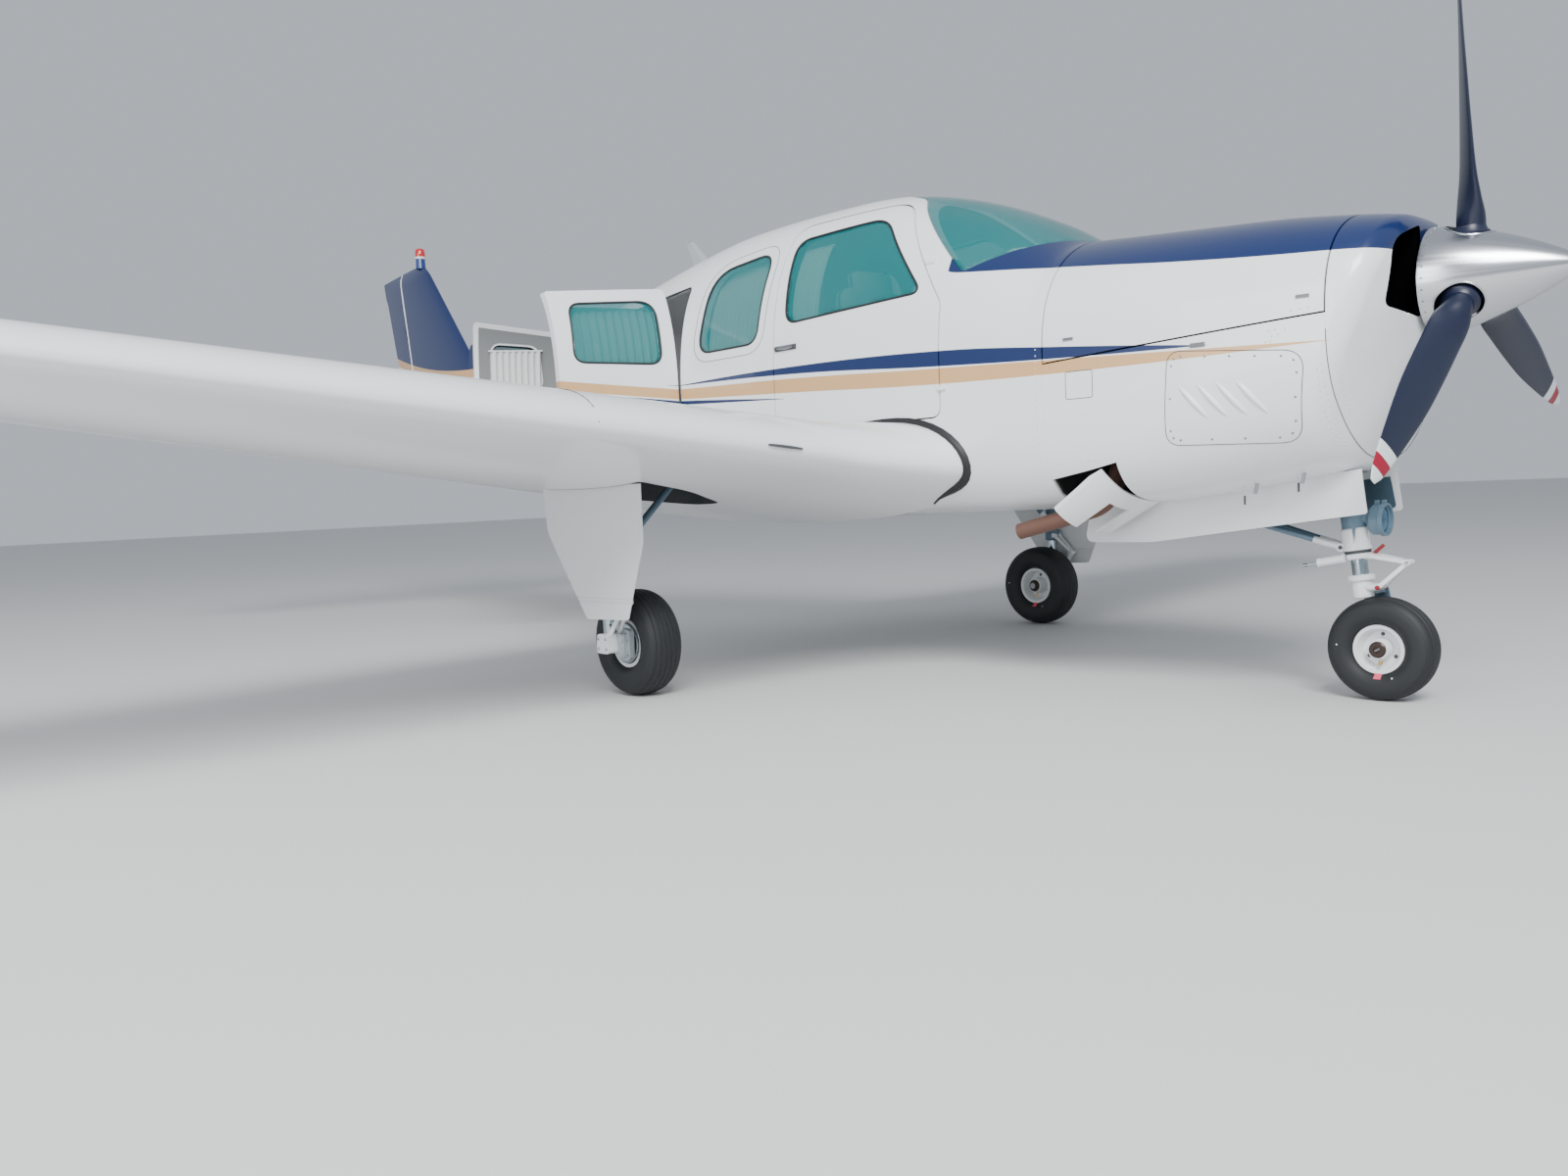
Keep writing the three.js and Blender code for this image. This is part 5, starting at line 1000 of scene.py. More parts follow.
finish_node("engine_block", engine_iron)
finish_node("firewall", engine_iron)
rusty = finish_of("rusty", (0.16, 0.085, 0.065), 0.65, 0.5)
STACK = np.array([(2.745, 0.300, 1.070), (2.680, 0.345, 0.712), (2.289, 0.385, 0.616)])
for place, side in SIDES:
    top, knee, end = STACK * [1, side, 1]
    before, after = knee + (top - knee) * 0.22, knee + (end - knee) * 0.2
    t = np.linspace(0, 1, 14)[:, None]
    bend = (1 - t) ** 2 * before + 2 * t * (1 - t) * knee + t**2 * after
    pipe = strip(np.concatenate([[top], bend, [end]]), 0.032, rusty, f"exhaust_pipe_{place}", sides=32)
    inward = (knee - end) / np.linalg.norm(knee - end)
    # The bore is black, painted shade for the dark inside the pipe.
    carve(pipe, rod("bore", end - 0.02 * inward, end + 0.2 * inward, 0.0285, 32, painted_shade_black))
    shade(pipe.data)
    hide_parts(f"exhaust_{place}")

# Nose leg: a steel cylinder hung between the walls of its bay, held from behind by a folding brace. A white
# collar clamps its lower end, and the landing lamp is bolted on ahead of it.
STRUT_LOW, STRUT_HIGH = np.array([3.461, 0, 0.4]), np.array([3.4, 0, 0.88])
STRUT = (STRUT_HIGH - STRUT_LOW) / np.linalg.norm(STRUT_HIGH - STRUT_LOW)
gear_blue = finish_of("gear_blue", (0.11, 0.18, 0.24), 0.4)
gear_white = finish_of("gear_white", (0.72, 0.74, 0.75), 0.35, coat=0.3)
lamp_glass = finish_of("lamp_glass", (0.05, 0.16, 0.26), 0.06, 0.6)


def ring(name, start, axis, rows, material, body="airframe", sides=64):
    """Solid turned part: rows of radius and distance along the axis, from one flat end to the other."""
    return turned(name, rows, start, axis, material, sides, body)


def cross_pin(name, middle, half, radius, sides, material, body="airframe"):
    """Pin straight across the aircraft, as far to the left of its middle as to the right."""
    reach = np.array([0, half, 0])
    return rod(name, middle - reach, middle + reach, radius, sides, material, body)


cylinder = ring("nose_cylinder", STRUT_LOW, STRUT,
                [(0.040, 0.118), (0.041, 0.122), (0.041, 0.47), (0.036, 0.482)], gear_blue)
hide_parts("nose_leg")
collar = [(0.046, 0.122), (0.050, 0.124), (0.050, 0.136), (0.0475, 0.142), (0.0475, 0.196), (0.043, 0.201)]
collar = ring("nose_collar", STRUT_LOW, STRUT, collar, gear_white)
notch = np.array([(3.452, 0.548), (3.437, 0.625), (3.457, 0.625)])
carve(collar, prism("cutter", notch, -0.1, 0.0, "y", gear_white))
ring("nose_collar_band", STRUT_LOW, STRUT, [(0.043, 0.1125), (0.0435, 0.1225)], seam_dark)
cross_pin("nose_cross_bar", (3.4025, 0, 0.86), 0.1497, 0.024, 32, gear_blue)
for side in (-1, 1):
    pin, fold, top = (3.400, 0.020 * side, 0.533), (3.113, 0.045 * side, 0.622), (2.96, 0.07 * side, 0.80)
    rod(f"brace_lower_{side}", pin, fold, 0.011, 16, gear_blue)
    white_end = np.array(pin) + 0.33 * (np.array(fold) - pin)
    rod(f"brace_white_{side}", pin, white_end, (0.0135, 0.0125), 16, gear_white)
    rod(f"brace_upper_{side}", fold, top, 0.011, 16, gear_blue)
cross_pin("brace_fold_pin", (3.113, 0, 0.622), 0.055, 0.013, 24, seam_dark)
cross_pin("brace_low_pin", (3.400, 0, 0.533), 0.034, 0.014, 24, gear_white)
rod("brace_low_bolt", (3.400, -0.037, 0.533), (3.400, -0.033, 0.533), 0.007, 16, seam_dark)
cross_pin("brace_top_bar", (2.96, 0, 0.80), 0.1497, 0.016, 24, gear_blue)
gusset = np.array([(3.4862, 0.622), (3.452, 0.548), (3.462, 0.526), (3.482, 0.526), (3.490, 0.550)])
prism("lamp_gusset", gusset, -0.007, 0.007, "y", gear_white)
lamp = [(0.0005, 0.0), (0.040, 0.0), (0.052, 0.012), (0.054, 0.040), (0.057, 0.042), (0.057, 0.056),
        (0.050, 0.056), (0.049, 0.046), (0.030, 0.030), (0.0005, 0.024)]
ring("lamp_can", (3.490, 0, 0.628), (1, 0, 0), lamp, gear_blue)
glass_rows = [(0.0005, 0.036), (0.046, 0.036), (0.0485, 0.043), (0.03, 0.048), (0.0005, 0.050)]
ring("lamp_lens", (3.490, 0, 0.628), (1, 0, 0), glass_rows, lamp_glass)
rod("lamp_arm", (3.43, 0, 0.628), (3.5, 0, 0.632), 0.018, 24, gear_blue)
for x in (3.512, 3.535):
    block(f"lamp_clamp_{x}", (x - 0.006, -0.008, 0.680), (x + 0.006, 0.008, 0.696), gear_blue)

# Nose fork: what steers below the cylinder. A chromed steel piston carries a white lower casting, the torque
# links, the shimmy damper on its right and one curved arm down the wheel's left side to the axle.
NOSE_HUB, NOSE_KNEE = np.array([3.529, 0, 0.1805]), np.array([3.616, 0, 0.482])
steering = "nose_steering"
chrome = finish_of("chrome", (0.42, 0.50, 0.55), 0.15, 1.0)
bolt_red = finish_of("bolt_red", (0.28, 0.01, 0.02), 0.5)


def on_strut(distance, up=0.0, aside=0.0):
    """Point on the nose strut's line, a distance up it, moved ahead and to the left."""
    return STRUT_LOW + distance * STRUT + [up, aside, 0]


def link(name, a, b, wide_a, wide_b, thick, material, body="airframe"):
    """Flat forged link between two pins that run across: a tapered plate with a tapered hole through it."""
    a, b = np.array(a, float), np.array(b, float)
    reach = np.linalg.norm(b - a)
    plan = [(-0.008, wide_a / 2, 0.008), (-0.008, -wide_a / 2, 0.008), (reach, -wide_b / 2, 0.006),
            (reach, wide_b / 2, 0.006)]
    plate = prism(name, rounded(plan), -thick / 2, thick / 2, "z", material)
    gap_a, gap_b = 0.30 * wide_a, 0.16 * wide_b
    hole = [(0.12 * reach, gap_a, 0.006), (0.12 * reach, -gap_a, 0.006), (0.8 * reach, -gap_b, 0.004),
            (0.8 * reach, gap_b, 0.004)]
    carve(plate, prism("cutter", rounded(hole), -1, 1, "z", material))
    along, across = (b - a) / reach, np.array([0.0, 1, 0])
    turn = np.eye(4)
    turn[:3] = np.stack([along, across, np.cross(along, across), a], 1)
    plate.data.transform(Matrix(turn.tolist()))
    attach(plate, body)
    return plate


piston = ring("nose_piston", STRUT_LOW, STRUT,
              [(0.026, -0.01), (0.0265, 0.0), (0.0265, 0.30), (0.024, 0.31)], chrome, steering)
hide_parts("nose_fork")
ring("steering_collar", STRUT_LOW, STRUT,
     [(0.040, 0.092), (0.0445, 0.095), (0.0445, 0.1105), (0.041, 0.112)], gear_white, steering)
casting = [(0.030, -0.046), (0.035, -0.042), (0.035, 0.004), (0.033, 0.008), (0.033, 0.014), (0.045, 0.018),
           (0.046, 0.034), (0.040, 0.037)]
ring("lower_casting", STRUT_LOW, STRUT, casting, gear_white, steering)
for name, distance, low, high in (("upper", 0.104, 0.03, 0.058), ("lower", -0.006, 0.02, 0.062)):
    for side in (-1, 1):
        a, b = on_strut(distance, low, 0.02 * side), on_strut(distance, high, 0.026 * side)
        rod(f"{name}_lug_{side}", a, b, (0.012, 0.010), 16, gear_white, steering)
    finish = bolt_red if name == "lower" else gear_white
    cross_pin(f"{name}_link_pin", on_strut(distance, high), 0.036, 0.0075, 16, finish, steering)
link("torque_link_upper", on_strut(0.104, 0.058), NOSE_KNEE, 0.070, 0.030, 0.014, gear_white, steering)
link("torque_link_lower", on_strut(-0.006, 0.062), NOSE_KNEE, 0.066, 0.030, 0.014, gear_white, steering)
cross_pin("knee_pin", NOSE_KNEE, 0.022, 0.010, 24, gear_white, steering)
cross_pin("knee_bolt", NOSE_KNEE, 0.027, 0.005, 16, screw_steel, steering)
rod("link_stop", (3.498, 0.010, 0.512), (3.528, 0.016, 0.540), 0.006, 16, bolt_red, steering)
for k, y in enumerate((-0.04, 0.04)):
    studs(f"link_bolt_{k}", on_strut(-0.006, 0.062, y * 0.95), (0, np.sign(y), 0), 0.0085, 0.006, bolt_red,
          steering)
damper_rear, damper_front = np.array([3.3282, -0.05, 0.4789]), np.array([3.4220, -0.043, 0.4965])
direction = (damper_front - damper_rear) / np.linalg.norm(damper_front - damper_rear)
barrel_rows = [(0.012, 0.0), (0.0165, 0.001), (0.0165, 0.010), (0.0150, 0.012), (0.0150, 0.082),
               (0.0165, 0.084), (0.0165, 0.094), (0.012, 0.0955)]
ring("damper_barrel", damper_rear, direction, barrel_rows, gear_white, steering, 40)
rod("damper_rod", damper_rear - 0.045 * direction, damper_rear + 0.002 * direction, 0.0042, 16, chrome,
    steering)
rod("damper_pin", damper_rear - 0.052 * direction, damper_rear - 0.040 * direction, 0.0065, 16, screw_steel,
    steering)
rod("damper_mount", on_strut(0.10, 0, -0.03), damper_front + [0.004, 0.004, 0.001], 0.010, 16, gear_white,
    steering)
ARM = rounded([(3.553, 0.1565, 0.02), (3.553, 0.2205, 0.02), (3.515, 0.392, 0.01), (3.415, 0.392, 0.02),
               (3.499, 0.2105, 0.03), (3.505, 0.1565, 0.02)])
arm = prism("fork_arm", ARM, 0.076, 0.088, "y", gear_blue)
plate = np.array([(0.0, 0.372), (0.06, 0.372), (0.082, 0.362), (0.088, 0.384), (0.06, 0.397), (0.0, 0.397)])
carve(arm, prism("fork_plate", plate, 3.452, 3.512, "x", gear_blue), "UNION")
boss = rod("boss", NOSE_HUB + [0, 0.060, 0], NOSE_HUB + [0, 0.096, 0], 0.026, 40, gear_blue)
carve(arm, boss, "UNION")
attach(arm, steering)
rod("nose_axle", NOSE_HUB - [0, 0.048, 0], NOSE_HUB + [0, 0.099, 0], 0.0125, 24, screw_steel, steering)

# Wheels: cast rims painted white, in black tyres with grooves round the tread. The bearing cap, the valve and
# the red mark over rim and tyre are on the outer side.
tyre_rubber = finish_of("tyre_rubber", (0.010, 0.012, 0.014), 0.62)
cap_dark = finish_of("cap_dark", (0.05, 0.035, 0.03), 0.35, 0.6)
brass = finish_of("brass", (0.55, 0.36, 0.12), 0.3, 1.0)
mark_pink = finish_of("mark_pink", (0.70, 0.10, 0.15), 0.5)


def tyre_half_width(radius, outer, inner, width):
    """Half width of a tyre at a radius: its section is an oval whose sides are squared by a power of 2.6."""
    share = np.clip(np.abs(2 * radius - outer - inner) / (outer - inner), 0, 1)
    return width / 2 * (1 - share**2.6) ** (1 / 2.6)


def two_faced(rows, columns):
    """Faces of a sheet whose outer points stand in a grid, row after row, with the inner ones after them in
    the same order: four-sided cells on both, and a wall round the edge."""
    i, j = np.meshgrid(np.arange(rows - 1), np.arange(columns - 1), indexing="ij")
    a = (i * columns + j).reshape(-1)
    cell = np.stack([a, a + 1, a + columns + 1, a + columns], 1)
    edge = np.r_[np.arange(columns), np.arange(1, rows) * columns + columns - 1,
                 (rows - 1) * columns + np.arange(columns - 2, -1, -1), np.arange(rows - 2, 0, -1) * columns]
    after, count = np.roll(edge, -1), rows * columns
    wall = np.stack([edge, after, after + count, edge + count], 1)
    return np.concatenate([cell, cell[:, ::-1] + count, wall]).tolist()


def tyre(name, node, hub, outer, inner, width, grooves, body):
    """Tyre carried round its axle: points lie close together over the tread, where each groove lowers the
    oval section by a bell curve, and a fine ridge runs round each side."""
    half = width / 2
    tread = np.arcsin(np.linspace(0, 0.9, 90) ** 1.3)
    down = np.r_[tread, np.linspace(tread[-1], np.pi, 46)[1:]]
    turn = np.r_[down, 2 * np.pi - down[-2:0:-1]]
    middle, reach = (outer + inner) / 2, (outer - inner) / 2
    radius = middle + reach * np.sign(np.cos(turn)) * np.abs(np.cos(turn)) ** (2 / 2.6)
    y = half * np.sign(np.sin(turn)) * np.abs(np.sin(turn)) ** (2 / 2.6)
    deep = sum(np.exp(-((np.abs(y) - half * g) / 0.0022) ** 2) for g in grooves)
    ridge = np.exp(-((radius - middle - 0.55 * reach) / 0.002) ** 2) * (np.cos(turn) > 0)
    y = y + np.sign(y) * 0.0012 * ridge
    radius = np.maximum(radius - 0.0038 * deep * (radius > middle + 0.7 * reach), inner - 0.0004)
    rows = np.stack([radius, y], -1)
    piece = turned(name, np.concatenate([rows, rows[:1]]), hub, (0, 1, 0), tyre_rubber, 132, body)
    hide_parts(node)


def rim(name, node, hub, edge, width, bore, body):
    """Rim, the same on both sides: hub, sunk web, lip and bead seat, as a closed row carried round."""
    half = 0.33 * width
    side = [(bore, 1.14), (0.40 * edge, 1.14), (0.44 * edge, 1.02), (0.455 * edge, 0.25),
            (0.49 * edge, 0.10), (0.74 * edge, 0.10), (0.79 * edge, 0.35), (0.87 * edge, 0.90),
            (0.90 * edge, 1.0), (1.04 * edge, 1.02), (1.055 * edge, 0.95), (0.985 * edge, 0.88),
            (0.96 * edge, 0.78)]
    rows = [(r, -half * d) for r, d in side] + [(r, half * d) for r, d in side[::-1]]
    piece = turned(name, rows + rows[:1], hub, (0, 1, 0), gear_white, 96, body, sharp=40)
    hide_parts(node)
    for side in (-1, 1):
        turn = np.radians([88, -30, 212])
        holes = np.array(hub) + np.stack([0.63 * edge * np.cos(turn), 0 * turn + side * half * 0.10,
                                          0.62 * edge * np.sin(turn)], -1)
        studs(f"{name}_bolts_{side}", holes, (0, side, 0), 0.10 * edge, 0.004, seam_dark, body)


def wheel_trim(name, hub, edge, width, outer, side, body):
    """Bearing cap, valve, red mark and two paint dots on the outer side of a wheel."""
    hub, half = np.array(hub), 0.33 * width * side
    rows = [(0.0005, 1.20), (0.13 * edge, 1.20), (0.15 * edge, 1.30), (0.29 * edge, 1.30),
            (0.345 * edge, 1.22), (0.35 * edge, 1.10)]
    turned(f"{name}_cap", [(r, half * d) for r, d in rows], hub, (0, 1, 0), cap_dark, 48, body)
    slot = np.array([0.10 * edge, 0, 0.06 * edge])
    rod(f"{name}_cap_pin", hub + [0, half * 1.22, 0] - slot, hub + [0, half * 1.22, 0] + slot, 0.003, 10,
        screw_steel, body)
    foot = hub + [0.01, half * 1.0, -0.46 * edge]
    rod(f"{name}_valve", foot, foot - [0.004, -0.004 * side, 0.20 * edge], (0.0065, 0.0055), 14, brass, body)
    for dot, (angle, radius) in enumerate(((175, 0.74), (-62, 0.60))):
        reach, turn = radius * outer, math.radians(angle)
        level = tyre_half_width(reach, outer, edge, width) * side
        place = hub + [reach * math.cos(turn), level, reach * math.sin(turn)]
        studs(f"{name}_dot_{dot}", place, (0, side, 0), 0.004, 0.0008, gear_white, body)
    across, down = np.meshgrid(np.linspace(-0.012, 0.012, 7), np.linspace(1.02 * edge, 1.24 * edge, 9))
    reach = np.hypot(across, down)
    level = np.maximum(tyre_half_width(reach, outer, edge, width), 0.34 * width * (reach < 1.08 * edge))
    face = np.stack([hub[0] + across, hub[1] + side * (level + 0.0012), hub[2] - down], -1)
    points = np.concatenate([face, face - [0, side * 0.006, 0]])
    new_piece(f"{name}_mark", points, two_faced(*across.shape), mark_pink, body=body)


NOSE_TYRE, NOSE_RIM, NOSE_WIDE = 0.1805, 0.082, 0.125   # radius of the tyre and of the rim, and width
MAIN_TYRE, MAIN_RIM, MAIN_WIDE = 0.220, 0.096, 0.170
tyre("nose_tyre_skin", "nose_tyre", NOSE_HUB, NOSE_TYRE, NOSE_RIM, NOSE_WIDE, (0.16, 0.47), "nose_wheel")
rim("nose_rim_skin", "nose_rim", NOSE_HUB, NOSE_RIM, NOSE_WIDE, 0.013, "nose_wheel")
wheel_trim("nose_wheel", NOSE_HUB, NOSE_RIM, NOSE_WIDE, NOSE_TYRE, -1, "nose_wheel")
for place, side in SIDES:
    hub = (1.103, side * 1.428, 0.220)
    body = f"main_wheel_{place}"
    grooves = (0.14, 0.42, 0.68)
    tyre(f"main_tyre_{place}_skin", f"main_tyre_{place}", hub, MAIN_TYRE, MAIN_RIM, MAIN_WIDE, grooves,
         body)
    rim(f"main_rim_{place}_skin", f"main_rim_{place}", hub, MAIN_RIM, MAIN_WIDE, 0.017, body)
    wheel_trim(f"main_wheel_{place}_trim", hub, MAIN_RIM, MAIN_WIDE, MAIN_TYRE, -side, body)

# Gear doors: thin leaves pressed from aluminium sheet. Two hang beside the nose leg from the edges of the
# bay; one is fixed outside each main leg, with a pressed crease across it.
door_inside = finish_of("door_inside", (0.04, 0.08, 0.11), 0.6)


def pressed_leaf(name, outline, y, side, bulge, crease=()):
    """Leaf of 5 mm sheet in a fore-and-aft plane: bowed out between its lower and upper edges by a parabola,
    with a shallow groove, a bell curve, at each height of a crease."""
    low, high = np.min(outline, 0) - 0.01, np.max(outline, 0) + 0.01
    x, z = np.meshgrid(np.linspace(low[0], high[0], 40), np.linspace(low[1], high[1], 260))
    middle, reach = (low[1] + high[1]) / 2, (high[1] - low[1]) / 2
    out = bulge * (1 - ((z - middle) / reach) ** 2)
    out = out - 0.003 * sum(np.exp(-((z - c) / 0.003) ** 2) for c in crease)
    outer = np.stack([x, side * (y + out), z], -1)
    both = np.concatenate([outer, outer - [0, side * 0.005, 0]])
    leaf = new_piece(name, both, two_faced(*x.shape), gear_white, sharp=30)
    near, far = between(side, y - 0.05, y + 0.05)
    carve(leaf, prism("cutter", outline, near, far, "y", gear_white), "INTERSECT")
    return leaf


NOSE_DOOR = rounded([(3.52, 0.806), (3.54, 0.655, 0.012), (2.74, 0.56, 0.03), (2.44, 0.56, 0.04),
                     (2.47, 0.69)])
NOSE_LINING = rounded([(3.50, 0.775), (3.52, 0.665, 0.012), (2.74, 0.572, 0.03), (2.50, 0.572, 0.04),
                       (2.52, 0.67)])
LEG_DOOR = rounded([(1.431, 0.87), (1.434, 0.646, 0.02), (1.306, 0.338, 0.012), (1.019, 0.33, 0.012),
                    (0.756, 0.69, 0.02), (0.736, 0.87)])
for place, side in SIDES:
    leaf = pressed_leaf(f"nose_door_{place}_leaf", NOSE_DOOR, 0.152, side, 0.005)
    carve(leaf, copy_of(nose_room, "cutter"))
    shade(leaf.data, 30)
    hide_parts(f"nose_gear_door_{place}")
    near, far = between(side, 0.1485, 0.1510)
    lining = prism(f"nose_door_{place}_lining", NOSE_LINING, near, far, "y", door_inside)
    carve(lining, copy_of(nose_room, "cutter"))
    for k, (x, z) in enumerate(((3.1135, 0.715), (3.309, 0.755))):
        near, far = between(side, 0.155, 0.1585)
        block(f"door_gap_{place}_{k}", (x - 0.003, near, z - 0.02), (x + 0.003, far, z + 0.012), seam_dark)
bpy.data.objects.remove(nose_room)

# Main gear: each leg swings in towards the middle on its trunnion in the wing. It is a steel cylinder with
# side and drag braces, a piston with torque links ahead of it, and an axle block with the wheel's brake.
LEG_X, LEG_Y, AXLE_X, AXLE_Z, LINK_X, KNEE_X = 1.097, 1.560, 1.103, 0.220, 1.125, 1.227
CYLINDER = [(0.030, 0.47), (0.040, 0.476), (0.040, 0.52), (0.036, 0.526), (0.036, 0.985), (0.030, 0.990)]
AXLE_BLOCK = rounded([(1.052, 0.19, 0.02), (1.142, 0.19, 0.02), (1.135, 0.27, 0.02), (1.060, 0.27, 0.02)])
CALIPER = rounded([(1.117, 0.155, 0.015), (1.195, 0.160, 0.02), (1.200, 0.285, 0.02), (1.130, 0.290, 0.015)])
CALIPER_BACK = rounded([(1.130, 0.17, 0.01), (1.185, 0.175, 0.01), (1.188, 0.27, 0.01), (1.138, 0.27, 0.01)])
brake_grey = finish_of("brake_grey", (0.42, 0.46, 0.49), 0.4, 0.5)
for place, side in SIDES:
    def at_leg(x, inward, z):
        """Point by its station, distance inboard of the leg and height."""
        return np.array([x, side * (LEG_Y - inward), z])

    leg = turned(f"main_cylinder_{place}", CYLINDER, at_leg(LEG_X, 0, 0), (0, 0, 1), gear_blue, 56)
    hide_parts(f"main_leg_{place}")
    for name, low, high, radius, sides, material in (
            ("main_piston", (LEG_X, 0, 0.235), (LEG_X, 0, 0.49), 0.026, 40, chrome),
            ("trunnion", (0.735, 0, 0.945), (1.435, 0, 0.945), 0.020, 32, gear_blue),
            ("side_brace", (LEG_X, 0.02, 0.56), (LEG_X, 0.44, 0.945), 0.015, 24, gear_blue),
            ("side_brace_end", (LEG_X, 0.02, 0.56), (LEG_X, 0.11, 0.643), (0.019, 0.017), 24, gear_white),
            ("drag_brace", (1.110, 0, 0.64), (1.287, 0.03, 0.945), 0.012, 24, gear_blue),
            ("brace_post", (LEG_X, 0.45, 0.93), (LEG_X, 0.45, 1.02), 0.022, 24, gear_blue)):
        rod(f"{name}_{place}", at_leg(*low), at_leg(*high), radius, sides, material)
    for k, (x, inward) in enumerate(((1.19, 0.25), (0.95, 0.35), (1.25, 0.40))):
        rod(f"well_tube_{place}_{k}", at_leg(x, 0.04, 0.955), at_leg(x - 0.05, inward, 0.972), 0.008, 12,
            gear_blue)
    prism(f"axle_block_{place}", AXLE_BLOCK, *between(side, 1.520, 1.600), "y", gear_white)
    rod(f"main_axle_{place}", at_leg(AXLE_X, 0.03, AXLE_Z), at_leg(AXLE_X, 0.215, AXLE_Z), 0.0165, 32,
        screw_steel)
    disc = [(0.045, 0.0), (0.082, 0.0), (0.082, 0.006), (0.045, 0.006), (0.045, 0.0)]
    turned(f"brake_disc_{place}", disc, at_leg(AXLE_X, 0.066, AXLE_Z), (0, -side, 0), chrome, 72)
    prism(f"caliper_{place}", CALIPER, *between(side, 1.514, 1.538), "y", brake_grey)
    prism(f"caliper_back_{place}", CALIPER_BACK, *between(side, 1.538, 1.556), "y", brake_grey)
    for k, z in enumerate((0.195, 0.25)):
        rod(f"brake_piston_{place}_{k}", at_leg(1.162, 0.0, z), at_leg(1.162, 0.03, z), 0.019, 32, brake_grey)
        studs(f"caliper_bolt_{place}_{k}", at_leg(1.190, 0.022, z - 0.01), (0, side, 0), 0.006, 0.006,
              screw_steel)
    bolts = [at_leg(x, -0.04, z) for x, z in ((1.07, 0.21), (1.125, 0.21), (1.07, 0.25), (1.122, 0.25))]
    studs(f"block_bolts_{place}", bolts, (0, side, 0), 0.007, 0.006, screw_steel)
    for k, aside in enumerate((-0.022, 0.022)):
        knee = at_leg(KNEE_X, aside * 0.5, 0.400)
        rod(f"main_link_upper_{place}_{k}", at_leg(LINK_X, aside, 0.500), knee, (0.011, 0.009), 20,
            gear_white)
        rod(f"main_link_lower_{place}_{k}", at_leg(LINK_X, aside, 0.262), knee, (0.011, 0.009), 20,
            gear_white)
    rod(f"main_knee_{place}", at_leg(KNEE_X, -0.024, 0.400), at_leg(KNEE_X, 0.024, 0.400), 0.011, 24,
        gear_white)
    studs(f"main_knee_bolt_{place}", [at_leg(KNEE_X, -0.024, 0.400)], (0, side, 0), 0.008, 0.007, bolt_red)
    for k, z in enumerate((0.500, 0.262)):
        rod(f"main_link_pin_{place}_{k}", at_leg(LINK_X, -0.035, z), at_leg(LINK_X, 0.035, z), 0.012, 24,
            gear_white)
    line = np.array([at_leg(1.075, -0.02, 0.95), at_leg(1.060, -0.035, 0.62), at_leg(1.062, -0.035, 0.48),
                     at_leg(1.085, -0.03, 0.36), at_leg(1.12, -0.01, 0.30)])
    strip(line, 0.0045, seam_dark, f"brake_hose_{place}", sides=10)
    wing_room = wing_body("wing_room", side)
    door = pressed_leaf(f"leg_door_{place}_leaf", LEG_DOOR, 1.6145, side, 0.003, (0.402, 0.417))
    carve(door, wing_room)
    shade(door.data, 30)
    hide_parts(f"leg_door_{place}")
    for k, z in enumerate((0.60, 0.50)):
        rod(f"leg_door_stay_{place}_{k}", at_leg(LEG_X, -0.030, z), at_leg(LEG_X, -0.0545, z), 0.010, 16,
            gear_blue)

# Cabin: a grey carpeted floor, a padded panel with two control wheels, and three rows of seats on black
# bases, in grey cloth whose cushions are crowned and piped.
carpet = finish_of("carpet", (0.09, 0.085, 0.08), 0.95)
panel_plastic = finish_of("panel_plastic", (0.30, 0.42, 0.42), 0.6)
dial_black = finish_of("dial_black", (0.01, 0.01, 0.012), 0.3)
seat_cloth = finish_of("seat_cloth", (0.30, 0.33, 0.34), 0.9)
piping = finish_of("piping", (0.12, 0.13, 0.14), 0.7)
finish_node("cabin_floor", carpet)
finish_node("instrument_panel", panel_plastic)


